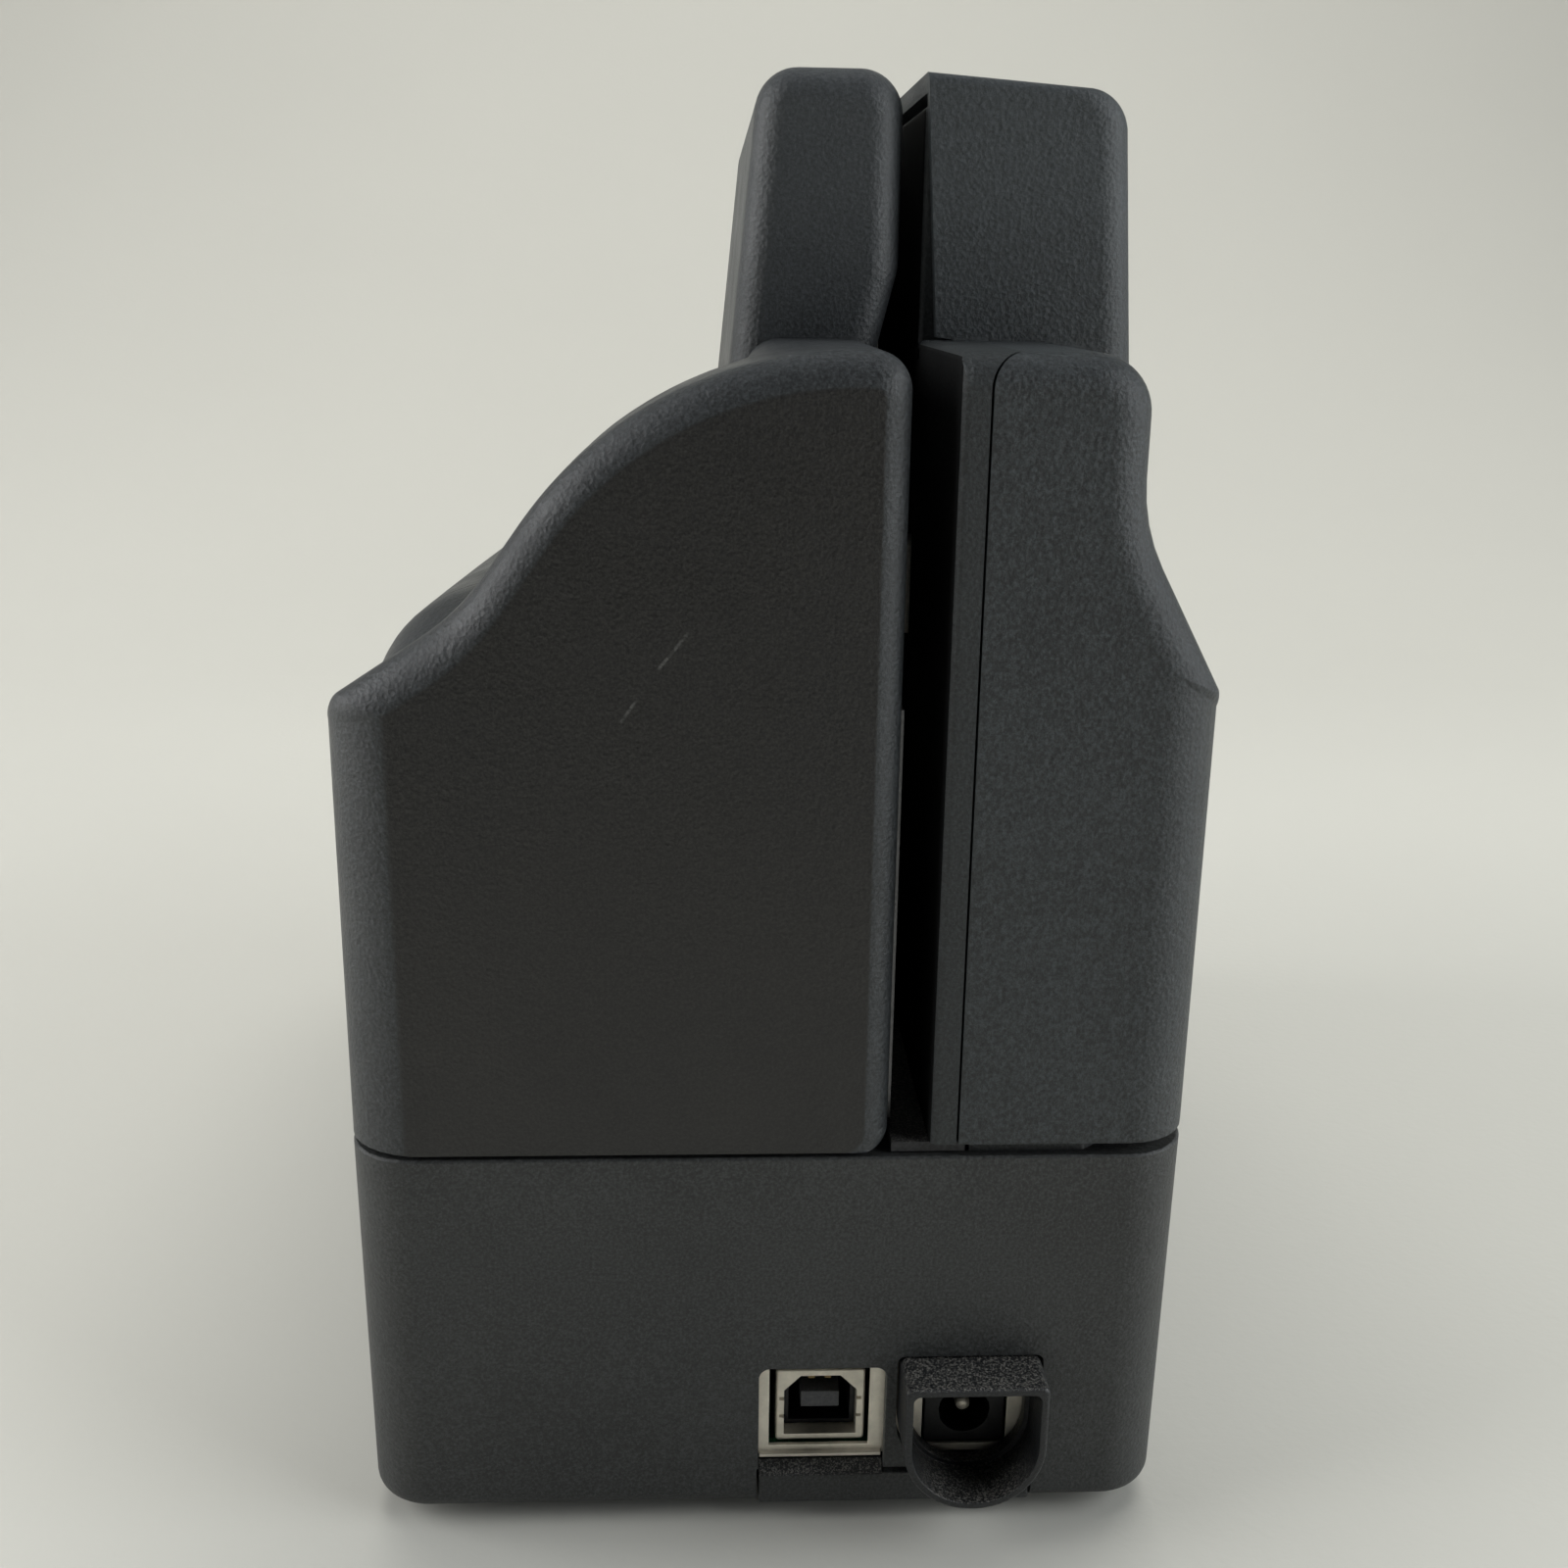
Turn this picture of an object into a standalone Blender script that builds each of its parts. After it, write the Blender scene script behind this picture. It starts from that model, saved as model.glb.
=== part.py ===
"""Single-feed cheque scanner: a base with a deck, a fixed left casing and a tilting right door.

The document stands on edge in the slot between the two casings and runs along Y.
Millimetres are used throughout and turned into metres when a mesh is made.
Origin: middle of the footprint (power plug collar included), on the surface it stands on.
+X is to the right seen from the connector end, +Y runs away from that end, +Z is up.
"""

import math

import bmesh
import bpy
from mathutils import Matrix, Vector

MM = 0.001

# ---------------------------------------------------------------- driving dimensions
WIDTH = 107.0
BODY_LENGTH = 196.0
COLLAR_REACH = 6.5
FOOT = 2.5
BASE_HEIGHT = 52.3
WING_HEIGHT = 150.7
TOWER_HEIGHT = 184.4
WALL = 2.4
GAP = 0.3
WING_LENGTH = 40.0
CORNER_ROUND = 8.4

SLOT_LEFT = 14.6
SLOT_RIGHT = 19.7
TRACK_WALL = 3.2
TOWER_SLOT_LEFT = 17.0

SPARE = 2.0

# ---------------------------------------------------------------- derived places
HALF = WIDTH / 2
NEAR = -(BODY_LENGTH - COLLAR_REACH) / 2
FAR = NEAR + BODY_LENGTH
BLOCK_NEAR = NEAR + WING_LENGTH
BLOCK_FAR = FAR - WING_LENGTH
DECK = FOOT + BASE_HEIGHT
LEFT_BOTTOM = DECK + 0.65
DOOR_BOTTOM = DECK + 1.7
FLOOR_TOP = DECK + 1.6
WING_TOP = FOOT + WING_HEIGHT
TOWER_TOP = FOOT + TOWER_HEIGHT
SHOULDER_TOP = FOOT + 118.4
DECK_UNDERSIDE = DECK - WALL
BOARD_TOP = FOOT + 7.6
BOARD_THICK = 1.6
COVER_EDGE = SLOT_RIGHT + TRACK_WALL + 0.3

EXIT_Y = NEAR + 48.0
FEED_Y = NEAR + 148.0
CARTRIDGE_Y = (NEAR + 58.0, NEAR + 78.0)
SENSOR_Y = (NEAR + 84.0, NEAR + 104.0)
HEAD_Y = (NEAR + 112.0, NEAR + 126.0)
SENSOR_Z = (FOOT + 58.0, FOOT + 172.0)
TYRE_Z = ((FOOT + 62.0, FOOT + 76.0), (FOOT + 110.0, FOOT + 124.0))
DRIVE_RADIUS = 9.0
PINCH_RADIUS = 5.0
SHAFT_RADIUS = 2.5
DRIVE_X = SLOT_LEFT + 2.4 - DRIVE_RADIUS
PINCH_X = DRIVE_X + DRIVE_RADIUS + GAP + PINCH_RADIUS
PIVOT_X = 33.0
PIVOT_SETBACK = 15.0
ARM_Z = (FOOT + 86.0, FOOT + 100.0)
MOTOR_X, MOTOR_Y = -20.0, NEAR + 100.0
PULLEY_Z = (DECK_UNDERSIDE - 8.5, DECK_UNDERSIDE - 2.5)
MOTOR_PULLEY_RADIUS = 5.0
ROLLER_PULLEY_RADIUS = 8.0
BELT_THICK = 1.2
DOOR_AXIS = (HALF - CORNER_ROUND, FAR - CORNER_ROUND)
DOOR_KNUCKLE_Z = ((DOOR_BOTTOM + 3.0, DOOR_BOTTOM + 15.0), (FOOT + 92.0, FOOT + 104.0))
LID_Y = (BLOCK_NEAR + 4.0, BLOCK_NEAR + 84.0)
LID_AXIS = (-14.0, SHOULDER_TOP - 2.6)
LID_BARREL = 2.1
LID_EAR = 1.7
LID_TAIL_ROOM = 1.2
LID_SKIN_Z = FOOT + 82.0
USB_X, USB_Z = 7.0, FOOT + 13.1
JACK_X, JACK_Z = 26.4, FOOT + 12.4
COLLAR_WIDTH = 18.6
COLLAR_TOP = FOOT + 22.7
COLLAR_BOTTOM = FOOT + 4.5
PORT_CUT_X = (USB_X - 8.4, USB_X + 8.4)
PORT_CUT_Z = (FOOT + 4.9, FOOT + 21.4)
UPSTAND_X = (-1.6, 35.4)
SHIELD_Y = NEAR + 3.3
MAGNET_AT = (34.0, NEAR + 14.0)


# ---------------------------------------------------------------- modelling helpers
def clear_scene():
    for obj in list(bpy.data.objects):
        bpy.data.objects.remove(obj)


def make_material(name, colour, roughness, metallic=0.0):
    material = bpy.data.materials.new(name)
    material.use_nodes = True
    shader = material.node_tree.nodes["Principled BSDF"]
    shader.inputs["Base Color"].default_value = (*colour, 1.0)
    shader.inputs["Roughness"].default_value = roughness
    shader.inputs["Metallic"].default_value = metallic
    material.diffuse_color = (*colour, 1.0)
    return material


def add_object(name, mesh, material=None):
    obj = bpy.data.objects.new(name, mesh)
    bpy.context.scene.collection.objects.link(obj)
    if material:
        mesh.materials.append(material)
    return obj


def mesh_from_bmesh(name, bm):
    """Rounds the points, so that faces meant to share a plane share it, and makes the mesh."""
    for vert in bm.verts:
        vert.co = [round(value, 3) for value in vert.co]
    bmesh.ops.remove_doubles(bm, verts=bm.verts, dist=0.002)
    bent = [face for face in bm.faces if len(face.verts) == 4 and not flat(face)]
    bmesh.ops.triangulate(bm, faces=bent)
    bmesh.ops.recalc_face_normals(bm, faces=bm.faces)
    mesh = bpy.data.meshes.new(name)
    bm.to_mesh(mesh)
    bm.free()
    mesh.transform(Matrix.Scale(MM, 4))
    return mesh


def flat(face):
    centre = face.calc_center_median()
    return all(abs((vert.co - centre).dot(face.normal)) < 1e-4 for vert in face.verts)


def join_rings(bm, rings):
    """Rings of equal length, skinned with quads and closed by a face at each end."""
    loops = [[bm.verts.new(point) for point in ring] for ring in rings]
    for ring_a, ring_b in zip(loops, loops[1:]):
        count = len(ring_a)
        for i in range(count):
            j = (i + 1) % count
            bm.faces.new((ring_a[i], ring_a[j], ring_b[j], ring_b[i]))
    bm.faces.new(loops[0])
    bm.faces.new(loops[-1])


def ring_solid(name, rings, material=None):
    bm = bmesh.new()
    join_rings(bm, rings)
    return add_object(name, mesh_from_bmesh(name, bm), material)


def box(name, x, y, z, material=None):
    rings = [[(x[0], y[0], h), (x[1], y[0], h), (x[1], y[1], h), (x[0], y[1], h)] for h in z]
    return ring_solid(name, rings, material)


def circle(cx, cy, radius, z, sides):
    step = math.tau / sides
    return [
        (cx + radius * math.cos(i * step), cy + radius * math.sin(i * step), z)
        for i in range(sides)
    ]


def turned(name, centre, stations, sides=20, material=None):
    """A solid of revolution about a vertical axis: stations are (height, radius)."""
    rings = [circle(centre[0], centre[1], radius, z, sides) for z, radius in stations]
    return ring_solid(name, rings, material)


def rod_y(name, x, z, radius, y, sides=16, material=None):
    """A rod along Y."""
    rings = [[(x + a, h, z + b) for a, b, _ in circle(0, 0, radius, 0, sides)] for h in y]
    return ring_solid(name, rings, material)


def shift_edges(corners, offsets):
    """The polygon's corners after each edge i (corner i to i+1) moves inwards by offsets[i]."""
    count = len(corners)
    lines = []
    for i in range(count):
        ax, az = corners[i][:2]
        bx, bz = corners[(i + 1) % count][:2]
        length = math.hypot(bx - ax, bz - az)
        ux, uz = (bx - ax) / length, (bz - az) / length
        lines.append((ax - uz * offsets[i], az + ux * offsets[i], ux, uz))
    moved = []
    for i in range(count):
        px, pz, pux, puz = lines[i - 1]
        qx, qz, qux, quz = lines[i]
        cross = pux * quz - puz * qux
        along = ((qx - px) * quz - (qz - pz) * qux) / cross
        moved.append((px + pux * along, pz + puz * along))
    return moved


def corner_turn(corners, i):
    """The unit directions away from corner i to its neighbours, and how far the path turns there."""
    corner = Vector(corners[i][:2])
    enter = (Vector(corners[i - 1][:2]) - corner).normalized()
    leave = (Vector(corners[(i + 1) % len(corners)][:2]) - corner).normalized()
    return enter, leave, math.pi - enter.angle(leave)


def arc_steps(corners, degrees_per_step=22.5):
    """How many chords round each corner; a sharp corner has none."""
    steps = []
    for i, corner in enumerate(corners):
        turn = math.degrees(corner_turn(corners, i)[2])
        steps.append(max(1, round(turn / degrees_per_step)) if corner[2] else 0)
    return steps


def rounded_outline(corners, steps):
    """Points of a counter-clockwise polygon of (x, z, corner radius)."""
    points = []
    for i, (x, z, radius) in enumerate(corners):
        corner = Vector((x, z))
        if not radius:
            points.append(tuple(corner))
            continue
        enter, leave, turn = corner_turn(corners, i)
        reach = radius * math.tan(turn / 2)
        centre = corner + (enter + leave).normalized() * (radius / math.cos(turn / 2))
        first = corner + enter * reach - centre
        swing = -first.angle_signed(corner + leave * reach - centre)
        for k in range(steps[i] + 1):
            c, s = math.cos(swing * k / steps[i]), math.sin(swing * k / steps[i])
            points.append((centre.x + first.x * c - first.y * s, centre.y + first.x * s + first.y * c))
    return points


def casing_rings(corners, rounds, y, near_cap=True, far_cap=True, cap_steps=3):
    """Rings along Y for a casing whose end faces meet its sides in quarter-round edges.

    corners are (x, z, corner radius), counter-clockwise seen from the near end.
    rounds[i] is the quarter-round's radius along the edge from corner i to corner i+1.
    """
    steps = arc_steps(corners)
    outer = rounded_outline(corners, steps)
    inner_corners = []
    for i, (x, z) in enumerate(shift_edges(corners, rounds)):
        radius = corners[i][2]
        if radius:
            least = min(rounds[i - 1], rounds[i])
            radius = max(0.4, radius - least) if convex(corners, i) else radius + least
        inner_corners.append((x, z, radius))
    inner = rounded_outline(inner_corners, steps)
    depths = spread_depths(rounds, steps)
    rings = []
    if near_cap:
        for k in range(cap_steps):
            rings.append(cap_ring(inner, outer, depths, math.pi / 2 * k / cap_steps, y[0], 1))
    rings.append([(x, y[0] + (d if near_cap else 0), z) for (x, z), d in zip(outer, depths)])
    rings.append([(x, y[1] - (d if far_cap else 0), z) for (x, z), d in zip(outer, depths)])
    if far_cap:
        for k in reversed(range(cap_steps)):
            rings.append(cap_ring(inner, outer, depths, math.pi / 2 * k / cap_steps, y[1], -1))
    return rings


def convex(corners, i):
    return turn_of(corners[i - 1], corners[i], corners[(i + 1) % len(corners)]) > 0


def spread_depths(rounds, steps):
    """The quarter-round's radius at each outline point, eased from one edge's to the next."""
    depths = []
    for i, count in enumerate(steps):
        if not count:
            depths.append(max(rounds[i - 1], rounds[i]))
            continue
        for k in range(count + 1):
            depths.append(rounds[i - 1] + (rounds[i] - rounds[i - 1]) * k / count)
    return depths


def cap_ring(inner, outer, depths, t, y, sign):
    s, c = math.sin(t), math.cos(t)
    return [
        (a[0] + (b[0] - a[0]) * s, y + sign * d * (1 - c), a[1] + (b[1] - a[1]) * s)
        for a, b, d in zip(inner, outer, depths)
    ]


def prism_y(name, corners, y, material=None, step=22.5):
    """A plain prism along Y; corners are (x, z, corner radius)."""
    points = rounded_outline(corners, arc_steps(corners, step))
    return ring_solid(name, [[(x, h, z) for x, z in points] for h in y], material)


def plan_prism(name, corners, z, material=None, step=22.5):
    """A plain prism along Z; corners are (x, y, corner radius)."""
    points = rounded_outline(corners, arc_steps(corners, step))
    return ring_solid(name, [[(x, y, h) for x, y in points] for h in z], material)


def rectangle(a, b, radius=0.0):
    return [(a[0], b[0], radius), (a[1], b[0], radius), (a[1], b[1], radius), (a[0], b[1], radius)]


def boolean(target, tool, operation):
    """Applies an exact Boolean and removes the tool."""
    modifier = target.modifiers.new(operation.title(), "BOOLEAN")
    modifier.operation = operation
    modifier.solver = "EXACT"
    modifier.object = tool
    bpy.context.view_layer.update()
    graph = bpy.context.evaluated_depsgraph_get()
    result = bpy.data.meshes.new_from_object(target.evaluated_get(graph))
    target.modifiers.remove(modifier)
    old = target.data
    target.data = result
    bpy.data.meshes.remove(old)
    bpy.data.objects.remove(tool)
    return target


def cut(target, *tools):
    for tool in tools:
        boolean(target, tool, "DIFFERENCE")
    return target


def fuse(target, *tools):
    for tool in tools:
        boolean(target, tool, "UNION")
    return target


def bore(target, place, radius, z, sides=16):
    """A hole along Z."""
    return cut(target, turned("cutter", place, [(z[0], radius), (z[1], radius)], sides))


# ---------------------------------------------------------------- outlines of the casings
def hump_corners():
    """Left wing: a wall, a low shoulder, a valley and a broad crown, then the slot's wall."""
    return [
        (-HALF, LEFT_BOTTOM, 0),
        (SLOT_LEFT, LEFT_BOTTOM, 3.0),
        (SLOT_LEFT, WING_TOP, 4.5),
        (-15.7, WING_TOP, 47.0),
        (-37.2, FOOT + 120.5, 30.0),
        (-HALF, FOOT + 109.7, 4.0),
    ]


def left_body_corners(t):
    """Left body behind the hump: a ridge beside the slot over a shoulder that sinks with t, 0 to 1."""
    return [
        (-HALF, LEFT_BOTTOM, 0),
        (SLOT_LEFT, LEFT_BOTTOM, 3.0),
        (SLOT_LEFT, WING_TOP, 4.5),
        (-3.0 + 4.0 * t, WING_TOP, 4.5),
        (-6.6, SHOULDER_TOP, 5.0),
        (-34.0 + t, FOOT + 119.4 - 5.0 * t, 18.0),
        (-HALF, FOOT + 113.0 - 13.0 * t, 16.0),
    ]


def left_tower_corners():
    return [
        (-7.6, FOOT + 126.0, 0),
        (13.5, FOOT + 126.0, 0),
        (13.5, FOOT + 146.0, 0),
        (TOWER_SLOT_LEFT, FOOT + 160.0, 8.0),
        (TOWER_SLOT_LEFT, TOWER_TOP, 5.7),
        (-1.8, TOWER_TOP, 5.7),
    ]


def wing_corners():
    """Right wing: a neck at the top that flares out to the full width lower down."""
    return [
        (COVER_EDGE, DOOR_BOTTOM, 0),
        (HALF, DOOR_BOTTOM, 0),
        (HALF, FOOT + 110.5, 5.5),
        (42.2, FOOT + 131.2, 21.5),
        (42.2, WING_TOP, 7.0),
        (COVER_EDGE, WING_TOP, 3.5),
    ]


def right_block_corners():
    """Right middle: the cover leans in towards the top and carries the right tower."""
    return [
        (COVER_EDGE + 1.0, DOOR_BOTTOM - SPARE, 0),
        (HALF - 0.3, DOOR_BOTTOM - SPARE, 0),
        (HALF - 0.3, FOOT + 92.0, 30.0),
        (46.2, FOOT + 181.9, 6.0),
        (SLOT_RIGHT, FOOT + 183.8, 0),
        (SLOT_RIGHT + 2.2, WING_TOP + 0.4, 0),
        (COVER_EDGE + 1.0, WING_TOP + 0.1, 0),
    ]


def shifted(corners, wall, drop=None, skip=()):
    """The corners moved in by the wall's thickness, except for the edges in skip, which move out.

    With a drop, the bottom edge moves down by it, which leaves the bottom open.
    """
    offsets = [-1.0 if i in skip else wall for i in range(len(corners))]
    if drop is not None:
        offsets[0] = -drop
    result = []
    for i, (x, z) in enumerate(shift_edges(corners, offsets)):
        radius = corners[i][2]
        if drop is not None and i in (0, 1):
            radius = 0
        elif radius:
            radius = max(0.8, radius - wall) if convex(corners, i) else radius + wall
        result.append((x, z, radius))
    return result


def hollow(corners, y, skip=()):
    """A cutter that leaves the wall's thickness, round plan corners and an open bottom."""
    return within_walls(prism_y("cutter", shifted(corners, WALL, 5, skip), y))


def within_walls(cutter):
    """Keeps a cutter inside the walls' rounded plan, a hair clear of its own flat sides."""
    core = plan_prism("core", plan_round(WALL + 0.05), (DECK_UNDERSIDE - 5, TOWER_TOP))
    return boolean(cutter, core, "INTERSECT")


# ---------------------------------------------------------------- base
def build_base(mats):
    base_shell(mats["casing"])
    base_plate(mats["casing"])
    corners = [(x, y) for x in (-1, 1) for y in (-1, 1)]
    for number, (side, end) in enumerate(corners, start=1):
        foot_at = (side * (HALF - 14), middle_y(end, 16))
        screw_at = (side * (HALF - 14), middle_y(end, 38))
        turned(f"rubber_foot_{number}", foot_at, [(0, 6.0), (FOOT - GAP, 7.0)], 20, mats["rubber"])
        turned(f"base_screw_{number}", screw_at, [(FOOT + 0.8, 3.0), (FOOT + 2.2, 3.0)], 12, mats["steel"])
    board = box(
        "main_board",
        (-44, 44),
        (NEAR + 4.6, NEAR + 150),
        (BOARD_TOP - BOARD_THICK, BOARD_TOP),
        mats["board"],
    )
    for x, y, w, d in ((-14, 42, 16, 16), (-32, 70, 10, 14), (22, 62, 14, 10), (6, 110, 12, 20)):
        fuse(board, box("chip", (x, x + w), (NEAR + y, NEAR + y + d), (BOARD_TOP - 0.5, BOARD_TOP + 2.0)))


def middle_y(end, setback):
    """A place set back from the near end (-1) or the far end (1)."""
    return NEAR + setback if end < 0 else FAR - setback


def plan_round(inset=0.0, radius=CORNER_ROUND):
    return rectangle((-HALF + inset, HALF - inset), (NEAR + inset, FAR - inset), max(0.8, radius - inset))


def base_shell(material):
    foot_round = 2.6
    steps = arc_steps(plan_round(), 15)
    outer = rounded_outline(plan_round(), steps)
    inner = rounded_outline(plan_round(foot_round), steps)
    rings = []
    for k in range(4):
        t = math.pi / 2 * k / 3
        s, c = math.sin(t), math.cos(t)
        z = FOOT + foot_round * (1 - c)
        rings.append(
            [(a[0] + (b[0] - a[0]) * s, a[1] + (b[1] - a[1]) * s, z)
            for a, b in zip(inner, outer)]
        )
    rings.append([(x, y, DECK) for x, y in outer])
    shell = ring_solid("base_shell", rings, material)
    cut(shell, plan_prism("cutter", plan_round(WALL), (FOOT + WALL, DECK_UNDERSIDE)))
    cut(shell, plan_prism("cutter", plan_round(5.0), (FOOT - 5, FOOT + WALL + 1)))
    cut(
        shell,
        box("cutter", (UPSTAND_X[0], UPSTAND_X[1]), (NEAR - 5, NEAR + 5.2), (FOOT - 5, PORT_CUT_Z[0] + 1)),
    )
    cut(
        shell,
        prism_y(
            "cutter",
            rectangle(PORT_CUT_X, (PORT_CUT_Z[0], PORT_CUT_Z[1]), 1.5),
            (NEAR - 5, NEAR + WALL + 1),
        ),
    )
    cut(shell, prism_y("cutter", collar_outline(0.3), (NEAR - 5, NEAR + WALL + 1)))
    for y in (EXIT_Y, FEED_Y):
        bore(shell, (DRIVE_X, y), SHAFT_RADIUS + 0.4, (DECK_UNDERSIDE - 2, DECK + 2), 20)
    fuse(shell, door_land())
    return bore(shell, MAGNET_AT, 5.3, (DECK - 2.0, DECK + 3), 20)


def door_land():
    """The raised land that the door swings in over."""
    outline = [
        (SLOT_RIGHT + 5.2, NEAR + 1.6, 0),
        (HALF - 14.0, NEAR + 1.6, 1.0),
        (HALF - 8.0, NEAR + 6.6, 3.0),
        (HALF - 8.0, FAR - 6.6, 3.0),
        (HALF - 14.0, FAR - 1.6, 1.0),
        (SLOT_RIGHT + 5.2, FAR - 1.6, 0),
    ]
    return plan_prism("lip", outline, (DECK - 0.8, DECK + 1.2))


def base_plate(material):
    plate = plan_prism("base_plate", plan_round(5.0 + GAP), (FOOT + 0.6, FOOT + WALL), material)
    upstand = box(
        "upstand",
        (UPSTAND_X[0] + GAP, UPSTAND_X[1] - GAP),
        (NEAR + 0.6, NEAR + 2.6),
        (FOOT + 0.6, PORT_CUT_Z[0]),
    )
    bridge = box(
        "bridge",
        (UPSTAND_X[0] + GAP, UPSTAND_X[1] - GAP),
        (NEAR + 1.0, NEAR + 8),
        (FOOT + 0.6, FOOT + WALL - 0.4),
    )
    fuse(plate, upstand, bridge)
    cut(plate, prism_y("cutter", collar_outline(0.3), (NEAR - 5, NEAR + 5)))
    for x in (-HALF + 14, HALF - 14):
        for y in (NEAR + 38, FAR - 38):
            bore(plate, (x, y), 3.3, (FOOT - 2, FOOT + 5), 12)
    for x in (-38, 38):
        for y in (NEAR + 14, NEAR + 140):
            fuse(plate, turned("post", (x, y), [(FOOT + 1, 3.0), (BOARD_TOP - BOARD_THICK - GAP, 3.0)], 12))
    return plate


# ---------------------------------------------------------------- ports
def collar_outline(grow=0.0):
    """A U: square at the top and half round below, seen from the connector end."""
    half = COLLAR_WIDTH / 2 + grow
    return [
        (JACK_X - half, COLLAR_BOTTOM - grow, half - 0.2),
        (JACK_X + half, COLLAR_BOTTOM - grow, half - 0.2),
        (JACK_X + half, COLLAR_TOP + grow, 1.0),
        (JACK_X - half, COLLAR_TOP + grow, 1.0),
    ]


def build_ports(mats):
    collar = prism_y(
        "power_plug_collar",
        collar_outline(),
        (NEAR - COLLAR_REACH, NEAR + 2.9),
        mats["casing"],
        15,
    )
    cut(collar, prism_y("cutter", collar_outline(-1.05), (NEAR - 10, NEAR + 0.9), step=15))
    cut(collar, prism_y("cutter", collar_outline(-2.6), (NEAR, NEAR + 10), step=15))
    shield = box(
        "port_shield",
        (UPSTAND_X[0] - 3, UPSTAND_X[1] + 3),
        (SHIELD_Y, SHIELD_Y + 0.5),
        (BOARD_TOP + GAP, FOOT + 27),
        mats["steel"],
    )
    cut(
        shield,
        box("cutter", (USB_X - 6.9, USB_X + 6.5), (SHIELD_Y - 2, SHIELD_Y + 2), (USB_Z - 6.9, USB_Z + 6.1)),
    )
    cut(
        shield,
        box("cutter", (JACK_X - 5.8, JACK_X + 5.8), (SHIELD_Y - 2, SHIELD_Y + 2), (FOOT, JACK_Z + 6.3)),
    )
    usb_socket(mats)
    power_jack(mats)


def usb_socket(mats):
    y = (SHIELD_Y + 0.8, SHIELD_Y + 17)
    x = (USB_X - 6.0, USB_X + 6.0)
    z = (BOARD_TOP + 0.05, BOARD_TOP + 11.0)
    shell = box("usb_socket_shell", x, y, z, mats["steel"])
    chamfered = usb_opening(0.5)
    cut(shell, prism_y("cutter", chamfered, (y[0] - 1, y[1] - 0.5)))
    liner = prism_y("usb_socket_insert", usb_opening(0.2), (y[0] + 0.4, y[1] - 0.8), mats["dark"])
    cut(liner, prism_y("cutter", usb_opening(-0.55), (y[0] - 1, y[1] - 5.8)))
    tongue = box("tongue", (USB_X - 2.8, USB_X + 2.8), (y[0] + 1.2, y[1] - 4), (USB_Z - 1.4, USB_Z + 1.8))
    fuse(liner, tongue)


def usb_opening(grow):
    half, low, high, chamfer = 4.35 + grow, USB_Z - 4.0 - grow, USB_Z + 4.0 + grow, 2.2
    return [
        (USB_X - half, low, 0),
        (USB_X + half, low, 0),
        (USB_X + half, high - chamfer, 0),
        (USB_X + half - chamfer, high, 0),
        (USB_X - half + chamfer, high, 0),
        (USB_X - half, high - chamfer, 0),
    ]


def power_jack(mats):
    y = (SHIELD_Y + 0.2, SHIELD_Y + 14)
    body = box(
        "power_jack_body",
        (JACK_X - 5.4, JACK_X + 5.4),
        y,
        (BOARD_TOP + 0.05, JACK_Z + 5.9),
        mats["dark"],
    )
    cut(body, rod_y("cutter", JACK_X, JACK_Z, 3.4, (y[0] - 1, y[1] - 3), 20))
    pin = rod_y("power_jack_pin", JACK_X, JACK_Z, 1.0, (y[0] + 1.0, y[1] - 3 - GAP), 12, mats["steel"])
    return body, pin


# ---------------------------------------------------------------- document track and drive
def build_track(mats):
    box(
        "track_floor",
        (SLOT_LEFT + GAP, SLOT_RIGHT + 4.6),
        (NEAR + 1.0, FAR - 1.0),
        (DECK + GAP, FLOOR_TOP),
        mats["dark"],
    )
    turned("door_magnet", MAGNET_AT, [(DECK - 1.7, 5.0), (DECK + 1.1, 5.0)], 20, mats["steel"])
    box(
        "exit_guide_plate",
        (SLOT_LEFT + GAP, SLOT_LEFT + 0.8),
        (NEAR + 7.0, EXIT_Y - 11),
        (FLOOR_TOP + GAP, FOOT + 108.5),
        mats["steel"],
    )


def build_drive(mats):
    body = turned(
        "drive_motor",
        (MOTOR_X, MOTOR_Y),
        [(FOOT + 12, 17.0), (PULLEY_Z[0] - 6.3, 17.0)],
        28,
        mats["steel"],
    )
    bracket = box(
        "motor_bracket",
        (MOTOR_X - 24, MOTOR_X + 24),
        (MOTOR_Y - 20, MOTOR_Y + 20),
        (PULLEY_Z[0] - 6.0, PULLEY_Z[0] - 4.4),
        mats["steel"],
    )
    for side in (-1, 1):
        leg = box(
            "leg",
            sorted_pair(MOTOR_X + side * 21, MOTOR_X + side * 24),
            (MOTOR_Y - 20, MOTOR_Y - 12),
            (PULLEY_Z[0] - 5.2, DECK_UNDERSIDE - GAP),
        )
        fuse(bracket, leg)
    bore(bracket, (MOTOR_X, MOTOR_Y), 3.0, (PULLEY_Z[0] - 10, PULLEY_Z[1]), 20)
    shaft_stations = [
        (PULLEY_Z[0] - 6.0, 1.5), (PULLEY_Z[0] - 0.8, 1.5), (PULLEY_Z[0] - 0.8, MOTOR_PULLEY_RADIUS + 1.6),
        (PULLEY_Z[0], MOTOR_PULLEY_RADIUS + 1.6),
        (PULLEY_Z[0], MOTOR_PULLEY_RADIUS),
        (PULLEY_Z[1], MOTOR_PULLEY_RADIUS),
        (PULLEY_Z[1], 2.5), (PULLEY_Z[1] + 1.5, 2.5),
    ]
    turned("motor_pulley", (MOTOR_X, MOTOR_Y), shaft_stations, 20, mats["brass"])
    for label, y in (("exit", EXIT_Y), ("feed", FEED_Y)):
        drive_roller(label, y, mats)
    timing_belt(mats)
    return body


def sorted_pair(a, b):
    return (min(a, b), max(a, b))


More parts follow.
